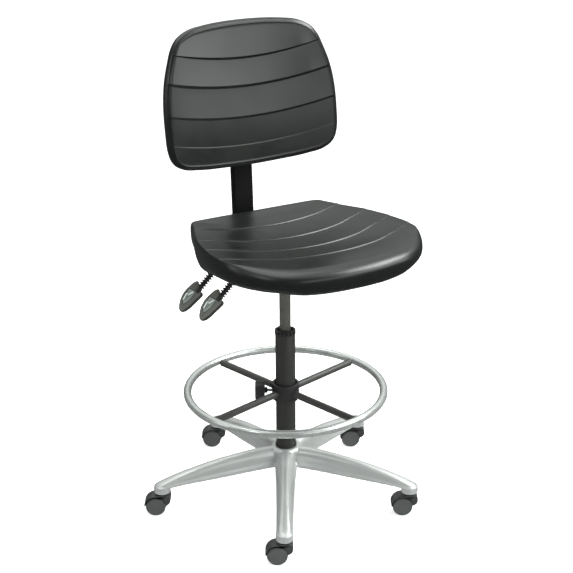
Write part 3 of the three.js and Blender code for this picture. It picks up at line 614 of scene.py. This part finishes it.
def band_rows(length, step, riser, spacing, stepped_start):
    """(share, relief) of a panel's rows. The panel rises by step towards its far edge, then drops a riser."""
    places = [0, 0.8, 2, 4] if stepped_start else [0]
    lip = length - riser
    parts = max(int((lip - places[-1]) / spacing), 2)
    start = places[-1]
    places += [start + (lip - 4 - start) * k / parts for k in range(1, parts + 1)]
    if riser:
        places += [lip - 2, lip - 0.8] + [lip + riser * share for share in (0, 0.2, 0.5, 0.8)]
    rows = []
    for place in places:
        relief = step * min(place / lip, 1) ** 1.5
        if place > lip:
            down = (place - lip) / riser
            relief = step * (1 - 0.5 * down - 0.5 * smoothstep(down, 0, 1))
        rows.append((place / length, relief))
    return rows


def pad_face(outline, width_at, guides, spacing, columns=64):
    """Rows of (x, y, relief, outline place) over the face, whose border lies width_at inside the outline.
    guides lists the step lines: height at the side, height in the middle, step and width of the riser."""
    border = [(point - outward * width_at(point, outward), outward) for point, outward in outline]
    top_corner = place_where(border, lambda point, outward: outward.x > outward.y)
    bottom_corner = place_where(border, lambda point, outward: outward.y < 0 and -outward.y > outward.x)
    marks = [top_corner]
    for side, *_ in guides:
        marks.append(place_where(border, lambda point, outward: point.y <= side))
    marks.append(bottom_corner)
    even = [-1 + 2 * k / columns for k in range(columns + 1)]
    shares = [sin(pi / 2 * u) * 0.45 + u * 0.55 for u in even]

    def end_row(corner, middle_place):
        def at(u):
            point, _ = at_share(border, middle_place + (corner - middle_place) * abs(u))
            return Vector((point.x if u >= 0 else -point.x, point.y))
        return at

    def step_line(end, sag):
        return lambda u: Vector((end.x * u, end.y + sag * (1 - u * u)))

    curves = [end_row(top_corner, 0)]
    for (side, middle, *_), mark in zip(guides, marks[1:]):
        curves.append(step_line(border[mark][0], middle - side))
    curves.append(end_row(bottom_corner, len(border) - 1))

    rows = []
    for band in range(len(curves) - 1):
        near, far = curves[band], curves[band + 1]
        length = (near(0) - far(0)).length
        last = band == len(curves) - 2
        step, riser = (0, 0) if last else guides[band][2:]
        stations = band_rows(length, step, riser, spacing, band > 0)
        if last:
            stations.append((1, 0))
        for share, relief in stations:
            place = marks[band] + (marks[band + 1] - marks[band]) * share
            side_point = at_share(border, place)[0]
            blended = near(1).lerp(far(1), share)
            shift = side_point - blended
            row = []
            for u in shares:
                point = near(u).lerp(far(u), share) + Vector((shift.x * u, shift.y * u * u))
                row.append((point.x, point.y, relief * (1 - 0.6 * smoothstep(abs(u), 0.75, 1)), place))
            rows.append(row)
    return rows


def pad_mesh(outline, rows, surface, skirt, underside):
    """The face, then rings down the sides, then rings over the underside.
    surface gives z at a point of the face. skirt gives the points down the pad's side at an outline point, and
    carries a step's relief over the edge. underside turns the last ring into the rings that close the pad."""
    count, width = len(rows), len(rows[0])
    verts = [Vector((x, y, surface(x, y) + relief)) for row in rows for x, y, relief, _ in row]
    faces = [[r * width + c, r * width + c + 1, (r + 1) * width + c + 1, (r + 1) * width + c]
             for r in range(count - 1) for c in range(width - 1)]
    border = [(0, c) for c in range(width - 1)] + [(r, width - 1) for r in range(count - 1)]
    border += [(count - 1, c) for c in range(width - 1, 0, -1)] + [(r, 0) for r in range(count - 1, 0, -1)]
    columns = []
    for r, c in border:
        x, y, relief, place = rows[r][c]
        if r == 0:
            place = place * abs(2 * c / (width - 1) - 1)
        columns.append(skirt(*nearest_outline(outline, x, y), relief))
    previous = [r * width + c for r, c in border]
    size = len(previous)
    rings = [[column[level] for column in columns] for level in range(len(columns[0]))]
    rings += underside(rings[-1])
    for ring_points in rings:
        start = len(verts)
        verts += ring_points
        ring = list(range(start, start + size))
        faces += [[previous[k], previous[(k + 1) % size], ring[(k + 1) % size], ring[k]] for k in range(size)]
        previous = ring
    faces.append(list(previous))
    return verts, faces


def nearest_outline(outline, x, y):
    """The outline point whose inward normal passes through (x, y), on the side that x lies on."""
    mirror = -1 if x < 0 else 1
    point = Vector((abs(x), y))
    best, best_miss = None, 1e9
    for on_outline, outward in outline:
        offset = on_outline - point
        miss = abs(offset.x * outward.y - offset.y * outward.x) + (1e3 if offset.dot(outward) < 0 else 0)
        miss += 0.02 * offset.length
        if miss < best_miss:
            best, best_miss = (on_outline, outward), miss
    on_outline, outward = best
    if abs(x) < 1e-6:
        outward = Vector((0, outward.y)).normalized()
        on_outline = Vector((0, on_outline.y))
    return Vector((on_outline.x * mirror, on_outline.y)), Vector((outward.x * mirror, outward.y))


def board_pocket(ring, half_width, low_end, high_end, mouth, floor):
    """Rings that turn the pad's underside into the pocket its board lies in."""
    middle = Vector((0, (low_end + high_end) / 2))
    half_height = (high_end - low_end) / 2
    edge = []
    for v in ring:
        away = Vector((v.x, v.y)) - middle
        scale = min(half_width / max(abs(away.x), 1e-6), half_height / max(abs(away.y), 1e-6))
        edge.append(middle + away * scale)
    for corner_x in (-half_width, half_width):
        for corner_y in (low_end, high_end):
            corner = Vector((corner_x, corner_y))
            nearest = min(range(len(edge)), key=lambda k: (edge[k] - corner).length)
            edge[nearest] = corner
    return [[Vector((e.x, e.y, z)) for e in edge] for z in (mouth, floor)]


SEAT_OUTLINE = [
    (0, 153), (60, 153), (120, 152.5), (152, 152), (166, 151), (176, 148.8), (182.5, 144.2), (186.2, 137),
    (189.5, 128), (195, 112), (206, 84), (223, 42), (238, 0), (248, -40), (255, -80), (258.5, -108),
    (260, -135), (259.3, -163), (256, -192), (246, -222), (231, -250), (210, -279), (184, -303), (146, -325),
    (100, -338), (50, -346), (0, -348),
]
# Each step line's height at the pad's side and in its middle, how much it drops and over what width.
SEAT_STEPS = [(83, 36, 2.4, 2.1), (0, -64, 2.4, 2.1), (-80, -155, 2.4, 2.1), (-157, -234, 2, 1.8)]
SEAT_EDGE_RISE = 3
SEAT_DEPTH = 66
SEAT_DISH = 12


def frontness(y):
    return smoothstep(-y, 180, 335)


def seat_surface(x, y):
    share = min(abs(x) / 235, 1)
    back_to_front = smoothstep(-y, -160, 70) * (1 - smoothstep(-y, 150, 330))
    roll = 7 * smoothstep(-y, 200, 345) ** 2
    rim = max(smoothstep(abs(x), 120, 188), smoothstep(y, 100, 150)) * (1 - frontness(y))
    return -SEAT_DISH * (1 - share ** 2) * back_to_front - roll + SEAT_EDGE_RISE * rim


def seat_top_width(y):
    return 5 + 39 * frontness(y)


def seat_edge_depth(y):
    """How far below the face's plane the pad is widest."""
    return 17 + 11 * frontness(y)


def seat_undercut(y):
    """How far the underside is drawn in: little at the rear and the nose, most at the front corners."""
    return 15 + 58 * smoothstep(-y, 0, 180) - 48 * smoothstep(-y, 290, 345)


def seat_pad():
    outline = half_outline(SEAT_OUTLINE)
    rows = pad_face(outline, lambda point, outward: seat_top_width(point.y), SEAT_STEPS, 7)
    middle = Vector((0, -80))

    def skirt(edge, outward, relief):
        reach = seat_top_width(edge.y)
        inside = edge - outward * reach
        start = seat_surface(inside.x, inside.y)
        widest = seat_edge_depth(edge.y)
        column = []
        for step in range(1, 10):
            a = step / 9 * pi / 2
            at = edge - outward * reach * (1 - sin(a))
            z = start * (1 - step / 9) - widest * (1 - cos(a))
            notch = relief * max(1 - step / 5, 0)
            at += outward * notch * 0.25
            column.append(Vector((at.x, at.y, z + notch * 0.6)))
        column.append(Vector((edge.x, edge.y, -widest - 5)))
        inward = (middle - edge).normalized()
        for step in range(1, 11):
            a = step / 10 * pi / 2
            at = edge + inward * seat_undercut(edge.y) * (1 - cos(a))
            column.append(Vector((at.x, at.y, -widest - 5 - (SEAT_DEPTH - widest - 5) * sin(a))))
        return column

    def underside(ring):
        inner = [Vector((v.x * 0.9, (v.y + 80) * 0.9 - 80, -SEAT_DEPTH)) for v in ring]
        return [inner] + board_pocket(ring, 140.4, -190.4, 110.4, -SEAT_DEPTH, -57.2)

    mesh = pad_mesh(outline, rows, seat_surface, skirt, underside)
    obj = piece("seat_cushion", mesh, "seat", SKIN, ["seat_pad"], SEAT_FRAME, 60)
    return obj


BACK_OUTLINE = [
    (0, 219), (38, 218.4), (75, 216.5), (110, 213), (143, 207.5), (165, 199), (183, 187), (197, 169),
    (211, 136), (225, 91), (231, 58), (233.8, 30), (235, 0), (235, -30), (234, -62), (231, -80),
    (224, -98), (213, -110), (198, -118.5), (150, -128), (75, -133.5), (0, -135.5),
]
BACK_STEPS = [(152, 127, 5, 5.5), (83, 58, 5, 6), (8, -17, 3.4, 5), (-58, -83, -0.55, 2.4)]
BACK_HALF_WIDTH = 235
BACK_HOLLOW = 28
BACK_FACE_INSET = 12
# From a fine bead round the face to the rear: distance inside the outline, depth, share of a step's relief.
BACK_EDGE = [
    (11.5, -0.3, 1), (10.9, -0.6, 1), (10.2, -0.2, 0.95), (9.4, 0.9, 0.85), (8, 2.4, 0.7), (5.6, 4, 0.5),
    (3.3, 6, 0.3), (1.5, 8.4, 0.1), (0.4, 11, 0), (0, 14, 0), (0, 20, 0), (0.8, 23.5, 0), (2.6, 26.5, 0),
    (5.4, 29, 0), (9, 31, 0), (14, 32.5, 0),
]


def back_hollow(x):
    return BACK_HOLLOW * (1 - min(abs(x) / BACK_HALF_WIDTH, 1) ** 2)


def back_surface(x, y):
    """How far the face stands out: hollow from side to side, and set back a little at its top and bottom."""
    above = 5 * (max(y + 20, 0) / 238) ** 2
    below = 4 * (max(-20 - y, 0) / 115) ** 2
    return -back_hollow(x) - above - below


def back_pad():
    outline = half_outline(BACK_OUTLINE)
    rows = pad_face(outline, lambda point, outward: BACK_FACE_INSET, BACK_STEPS, 7)

    def skirt(edge, outward, relief):
        inside = edge - outward * BACK_FACE_INSET
        start = back_surface(inside.x, inside.y) + back_hollow(inside.x)
        column = []
        for inset, drop, fade in BACK_EDGE:
            at = edge - outward * inset
            face_share = max(1 - drop / 16, 0)
            column.append(Vector((at.x, at.y, start * face_share - drop - back_hollow(at.x) + relief * fade)))
        return column

    def underside(ring):
        rings = []
        for scale, depth in ((0.88, 35.5), (0.8, 37.6), (0.68, 39.2), (0.56, 40)):
            rings.append([Vector((v.x * scale, (v.y - 40) * scale + 40, -depth - back_hollow(v.x * scale)))
                          for v in ring])
        return rings + board_pocket(ring, 72.4, -92.4, 92.4, -68.2, -56.1)

    mesh = pad_mesh(outline, rows, back_surface, skirt, underside)
    # x stays, the outline's y becomes height, and z, out of the face, becomes -Y.
    stand_up = Matrix(((1, 0, 0, 0), (0, 0, -1, 0), (0, 1, 0, 0), (0, 0, 0, 1)))
    obj = piece("back_cushion", mesh, "back_rest", SKIN, ["back_pad"], BACK_FRAME @ stand_up, 60)
    return obj


# ---------------------------------------------------------------- back arm

ARM_UP = Vector((0, sin(ARM_LEAN), cos(ARM_LEAN)))
ARM_BEND_END = ARM_BEND + Vector((0, ARM_BEND_RADIUS * cos(ARM_LEAN), ARM_BEND_RADIUS * (1 - sin(ARM_LEAN))))


def on_arm(z):
    return ARM_BEND_END + ARM_UP * (z - ARM_BEND_END.z) / ARM_UP.z


def back_arm():
    path = [Vector((0, ARM_FOOT_Y + (ARM_BEND.y - ARM_FOOT_Y) * k / 6, ARM_BEND.z)) for k in range(6)]
    for step in range(25):
        a = (pi / 2 - ARM_LEAN) * step / 24
        path.append(ARM_BEND + Vector((0, ARM_BEND_RADIUS * sin(a), ARM_BEND_RADIUS * (1 - cos(a)))))
    path += [on_arm(z) for z in (720, 800, 900, 1000, ARM_TOP)]
    bar = swept(path, Vector((1, 0, 0)), rounded_rectangle(29, 9, 7))
    eye = moved(lathe([(0, -29), (13, -29), (13.5, -28.5), (13.5, 28.5), (13, 29), (0, 29)], 48),
                Matrix.Translation(ARM_PIVOT) @ Matrix.Rotation(pi / 2, 4, "Y"))
    piece("back_arm_bar", joined(bar, eye), "back_arm", ARM_PAINT, ["back_arm"])
    at_knob = Matrix.Translation(on_arm(BRACKET_Z)) @ Matrix.Rotation(-ARM_LEAN - pi / 2, 4, "X")
    stud = lathe([(0, 9.6), (4, 9.6), (4, 34), (0, 34)], 32)
    piece("back_hand_knob", joined(knob_mesh(18.8, 24, 38, 8, 3), stud), "back_knob", PLASTIC,
          ["back_height_knob"], at_knob, 30)


# ---------------------------------------------------------------- levers

LEVER_ROD = 4
BELLOWS_FROM, BELLOWS_LENGTH, BELLOWS_FOLDS = 28.5, 43, 6
PADDLE_FROM = 72.5


def lever_rod(name, y, z, bend, down):
    """The rod runs out of the housing, turns down round the bend and ends inside the paddle."""
    corner = Vector((bend, y, z))
    if name == "height_lever":
        inner = [(2, 656.35), (-24, 656.35), (-30, 654), (-36, 648), (-42, 642), (-48, 640)]
    else:
        inner = [(-36, z)]
    path = [Vector((x, y, height)) for x, height in inner]
    path += [Vector((bend + 9, y, z))]
    for step in range(7):
        a = LEVER_SLOPE * step / 6
        path.append(corner + Vector((8 - 16 * sin(a) * 0.9, 0, -16 * (1 - cos(a)) * 0.9)))
    path += [corner + down * d for d in (20, 60, PADDLE_FROM + 20)]
    meshes = [swept(path, Vector((0, 1, 0)), circle(LEVER_ROD, 24))]
    if name == "height_lever":
        meshes.append(box(-6, 8, y - LEVER_ROD, 8, 652.35, 658.35))
    piece(f"{name}_bar", joined(*meshes), name, STEEL, [f"{name}_rod"])


def bellows(name, start_point, down):
    turn = Vector((0, 0, 1)).rotation_difference(down).to_matrix().to_4x4()
    length = BELLOWS_LENGTH / BELLOWS_FOLDS
    profile = [(4.35, 0)]
    for k in range(BELLOWS_FOLDS):
        start = k * length
        profile += [(5.2, start + 0.3), (5.6, start + 0.16 * length), (9.9, start + 0.42 * length),
                    (10.2, start + 0.5 * length), (9.9, start + 0.58 * length), (5.6, start + 0.84 * length)]
    profile += [(5.4, BELLOWS_LENGTH), (4.35, BELLOWS_LENGTH)]
    piece(f"{name}_gaiter", lathe(profile, 48), name, PLASTIC, [f"{name}_bellows"],
          Matrix.Translation(start_point) @ turn, 50)


def lever(name, y, z, bend):
    down = Vector((-cos(LEVER_SLOPE), 0, -sin(LEVER_SLOPE)))
    corner = Vector((bend, y, z))
    lever_rod(name, y, z, bend, down)
    bellows(name, corner + down * BELLOWS_FROM, down)
    facing = Vector((-0.3, -0.85, 0.42))
    facing = (facing - down * facing.dot(down)).normalized()
    across = facing.cross(down)
    basis = Matrix((across, facing, down)).transposed().to_4x4()
    paddle(name, Matrix.Translation(corner + down * PADDLE_FROM) @ basis)


def paddle(name, where):
    """The handle, drawn with its length along +Z and its broad face along +Y, with its plate and its mark."""
    outline = paddle_outline()
    front = [(x - 7 * smoothstep(x, -8, 12), z) for x, z in outline]
    # The handle half takes the darker copy of the lever plastic as painted shade; the face keeps the lever
    # plastic.
    # Each half's material and its levels: outline, inset and depth.
    halves = {
        "handle": (LEVER_SHADED_SIDE, ((outline, 3, -5.5), (outline, 1, -4.8), (outline, 0, -3.4), (outline, 0, -0.2),
                                (outline, 1, 0.9), (front, 0.8, 3.2))),
        "face": (LEVER, ((front, 0.9, 0.6), (front, 0, 1.4), (front, 0, 4), (front, 0.7, 5), (front, 2, 5.5))),
    }
    for half, (material_used, levels) in halves.items():
        rings = [[Vector((x, depth, z)) for x, z in shrunk(shape, inset)] for shape, inset, depth in levels]
        stands_for = [f"{name}_paddle"] if half == "handle" else []
        piece(f"{name}_{half}", loft(rings), name, material_used, stands_for, where, 30)
    neck = lathe([(4.4, -0.8), (7, -0.8), (7.6, 0), (7.6, 14), (4.4, 14)], 32)
    piece(f"{name}_neck", neck, name, PLASTIC, [], where)
    plate = rounded_corners([(-20, 18), (-3.2, 14.5), (-2, 38), (-7, 57), (-16.5, 48)], 3)
    # A near-black border just wider than the plate: painted shade of the gap round it.
    rim = shrunk(plate, -1.1)
    piece(f"{name}_plate_gap_shade", extruded(rim, 5.2, 5.75), name, GAP_SHADE_AND_PRINT, [], where)
    piece(f"{name}_plate", extruded(plate, 5.4, 6.1), name, PLATE, [], where)
    zigzag = [(-14.5, 48), (-17.5, 31), (-11, 30), (-7.5, 18.5)]
    piece(f"{name}_mark", stroke(zigzag, 1.5, 6.0, 6.35), name, MARK, [], where)
    hatches = []
    for k in range(5):
        hatches.append(stroke([(-14.5 + k, 46 - 5 * k), (-8.5 + 0.6 * k, 44 - 5 * k)], 0.55, 6.0, 6.3))
    piece(f"{name}_hatching", joined(*hatches), name, GAP_SHADE_AND_PRINT, [], where)


def rounded_corners(points, radius, steps=5):
    """The polygon with each corner replaced by a curve that starts radius away from it."""
    result = []
    for k, corner in enumerate(points):
        corner = Vector(corner)
        before = corner + (Vector(points[k - 1]) - corner).normalized() * radius
        after = corner + (Vector(points[(k + 1) % len(points)]) - corner).normalized() * radius
        for step in range(steps + 1):
            t = step / steps
            curve = before * (1 - t) ** 2 + corner * 2 * t * (1 - t) + after * t ** 2
            result.append((curve.x, curve.y))
    return result


def stroke(points, half_width, near, far):
    """A flat line of some width through the points, given a thickness along Y."""
    points = [Vector(point) for point in points]
    left, right = [], []
    for k, point in enumerate(points):
        along = (points[min(k + 1, len(points) - 1)] - points[max(k - 1, 0)]).normalized()
        side = Vector((-along.y, along.x)) * half_width
        left.append(tuple(point + side))
        right.append(tuple(point - side))
    quads = []
    for k in range(len(points) - 1):
        quads.append(extruded([left[k], left[k + 1], right[k + 1], right[k]], near, far))
    return joined(*quads)


def paddle_outline():
    """Points round the handle: a shoulder beside the bellows, a step on the other side and a rounded tip."""
    return rounded_corners([
        (-9.8, -9), (-16, -10), (-21, -1), (-24, 18), (-24.5, 34), (-21, 50), (-13, 66), (-5, 74.5), (4, 74),
        (10, 66), (13.5, 52), (15, 38), (17, 22), (18, 10.5), (14, 5.8), (2, 5), (-5, -1.5),
    ], 3.4)


def shrunk(outline, amount):
    """The outline moved inward by amount."""
    middle = Vector((sum(p[0] for p in outline), sum(p[1] for p in outline))) / len(outline)
    result = []
    for k, point in enumerate(outline):
        before, after = Vector(outline[k - 1]), Vector(outline[(k + 1) % len(outline)])
        along = after - before
        inward = Vector((along.y, -along.x)).normalized()
        if inward.dot(middle - Vector(point)) < 0:
            inward.negate()
        moved_point = Vector(point) + inward * amount
        result.append((moved_point.x, moved_point.y))
    return result


# ---------------------------------------------------------------- bolts

SEAT_PLATE_UNDERSIDE = -70.35
BACK_PLATE_REAR = 68.85
HOUSING_SIDE = 58


def bolt_mesh(radius, height):
    """A hexagon head on a washer, standing on z = 0 and pointing up +Z."""
    rim = radius * 1.5
    washer = lathe([(0, 0), (rim - 0.2, 0), (rim, 0.3), (rim, 1), (rim - 0.4, 1.3), (0, 1.3)], 32)
    rings = []
    for across, z in ((radius * 1.1, 1), (radius * 1.1, height - 0.8), (radius * 0.95, height)):
        rings.append([Vector((across * cos(pi / 3 * k), across * sin(pi / 3 * k), z)) for k in range(6)])
    return joined(washer, loft(rings))


def bolts(name, body, radius, height, places):
    """places are matrices from a bolt's own frame to the chair's."""
    mesh = joined(*[moved(bolt_mesh(radius, height), place) for place in places])
    piece(name, mesh, body, STEEL, [], Matrix.Identity(4), 25)


def add_bolts():
    down = Matrix.Rotation(pi, 4, "X")
    bolts("seat_plate_bolts", "seat", 5.5, 5.5,
          [SEAT_FRAME @ Matrix.Translation((x, y, SEAT_PLATE_UNDERSIDE)) @ down
           for x in (-78, 78) for y in (-86, 98)])
    rearward = Matrix.Rotation(-pi / 2, 4, "X")
    bolts("back_plate_bolts", "back_rest", 4.5, 5,
          [BACK_FRAME @ Matrix.Translation((x, BACK_PLATE_REAR, z)) @ rearward
           for x in (-46, 46) for z in (-43, 43)])
    on_housing = []
    for side in (-1, 1):
        sideways = Matrix.Rotation(side * pi / 2, 4, "Y")
        for y in (-60, 40):
            on_housing.append(SEAT_FRAME @ Matrix.Translation((side * HOUSING_SIDE, y, -90)) @ sideways)
    bolts("housing_bolts", "seat", 4, 4.5, on_housing)


# ---------------------------------------------------------------- stage

FLOOR_GLOW, BACKDROP_GLOW = 0.62, 1.1
BACKDROP_RADIUS, BACKDROP_HEIGHT = 75000, 60000
BRIGHT_SIDE = (0.2, 0.3, 0.93)
STUDIO_TINT = (0.965, 1, 0.975)
# Name, place and aim in metres from the column, width, height and power.
LAMPS = [
    ("key softbox", (2.1, -2.1, 2.15), (0, 0, 0.9), 2.6, 2.0, 52),
    ("front high softbox", (1.9, -0.8, 2.9), (0, 0, 0.8), 1.9, 1.0, 72),
    ("overhead softbox", (-0.3, 0.4, 3.4), (0, 0, 0.5), 2.4, 1.8, 25),
    ("left fill", (-2.8, 0.6, 1.6), (0, 0, 0.4), 0.8, 1.6, 8),
    ("front fill", (0.4, -3.4, 1.3), (0, 0, 0.5), 2.4, 1.0, 13),
    ("left rim", (-2.4, -1.1, 2.3), (0, 0, 0.9), 0.5, 1.2, 9),
]


def stage_piece(name, mesh, base, glow):
    """A matt piece of the studio, in millimetres. It never shows as a reflection in the chair."""
    obj = plain_object(name, moved(mesh, Matrix.Scale(0.001, 4)))
    matt = bpy.data.materials.new(f"pale {name}")
    matt.use_nodes = True
    shader = matt.node_tree.nodes["Principled BSDF"]
    shader.inputs["Base Color"].default_value = (base, base, base, 1)
    shader.inputs["Roughness"].default_value = 1
    shader.inputs["Specular IOR Level"].default_value = 0
    shader.inputs["Emission Color"].default_value = (1, 1, 1, 1)
    shader.inputs["Emission Strength"].default_value = glow
    obj.data.materials.append(matt)
    obj.visible_glossy = False
    return obj


def graded_world():
    """The world is bright behind and above the chair and dark in front of it."""
    world = bpy.data.worlds.new("studio")
    bpy.context.scene.world = world
    world.use_nodes = True
    nodes, links = world.node_tree.nodes, world.node_tree.links
    background = nodes["Background"]
    direction = nodes.new("ShaderNodeTexCoord")
    facing = nodes.new("ShaderNodeVectorMath")
    facing.operation = "DOT_PRODUCT"
    facing.inputs[1].default_value = Vector(BRIGHT_SIDE).normalized()
    links.new(direction.outputs["Generated"], facing.inputs[0])
    fade = nodes.new("ShaderNodeMapRange")
    fade.interpolation_type = "SMOOTHSTEP"
    fade.inputs["From Min"].default_value = 0.42
    fade.inputs["From Max"].default_value = 0.9
    fade.inputs["To Min"].default_value = 0.1
    fade.inputs["To Max"].default_value = 1.15
    links.new(facing.outputs["Value"], fade.inputs["Value"])
    links.new(fade.outputs["Result"], background.inputs["Strength"])
    background.inputs["Color"].default_value = (*STUDIO_TINT, 1)


def studio():
    reach = BACKDROP_RADIUS + 5000
    stage_piece("floor", box(-reach, reach, -reach, reach, -20, 0), 0.9, FLOOR_GLOW)
    shell = [(BACKDROP_RADIUS, 0), (BACKDROP_RADIUS, BACKDROP_HEIGHT),
             (BACKDROP_RADIUS + 500, BACKDROP_HEIGHT), (BACKDROP_RADIUS + 500, 0)]
    backdrop = stage_piece("backdrop", lathe(shell, 96), 0, BACKDROP_GLOW)
    backdrop.visible_diffuse = False
    backdrop.visible_shadow = False
    graded_world()
    for name, place, target, width, height, power in LAMPS:
        softbox(name, COLUMN + Vector(place), COLUMN + Vector(target), width, height, power)


def softbox(name, place, target, width, height, power):
    lamp = bpy.data.lights.new(name, "AREA")
    lamp.shape = "RECTANGLE"
    lamp.size = width
    lamp.size_y = height
    lamp.energy = power
    lamp.color = STUDIO_TINT
    obj = bpy.data.objects.new(name, lamp)
    bpy.context.scene.collection.objects.link(obj)
    obj.location = place
    obj.rotation_euler = (Vector(target) - Vector(place)).to_track_quat("-Z", "Y").to_euler()


CAMERA_PLACE = Vector((-1.502, -2.688, 1.777))
CAMERA_HEADING = Vector((0.4890, 0.8723, 0))
CAMERA_PITCH, CAMERA_ROLL = radians(21.309), radians(-0.432)
CAMERA_LENS = 84.5


def camera():
    """A long lens that looks at the chair's front from the sitter's right and above."""
    ahead = CAMERA_HEADING.normalized()
    look = ahead * cos(CAMERA_PITCH) + Vector((0, 0, -sin(CAMERA_PITCH)))
    level = ahead.cross(Vector((0, 0, 1)))
    upright = level.cross(look)
    right = level * cos(CAMERA_ROLL) + upright * sin(CAMERA_ROLL)
    up = upright * cos(CAMERA_ROLL) - level * sin(CAMERA_ROLL)
    data = bpy.data.cameras.new("camera")
    data.sensor_width = 36
    data.lens = CAMERA_LENS
    obj = bpy.data.objects.new("camera", data)
    bpy.context.scene.collection.objects.link(obj)
    turn = Matrix((right, up, -look)).transposed().to_4x4()
    obj.matrix_world = Matrix.Translation(COLUMN + CAMERA_PLACE) @ turn
    bpy.context.scene.camera = obj


camera()
studio()
bpy.context.scene.view_settings.view_transform = "Standard"
dress_cad_nodes()
star_base()
add_casters()
gas_lift()
foot_ring()
seat_pad()
back_pad()
back_arm()
for lever_name, place in LEVERS.items():
    lever(lever_name, **place)
add_bolts()
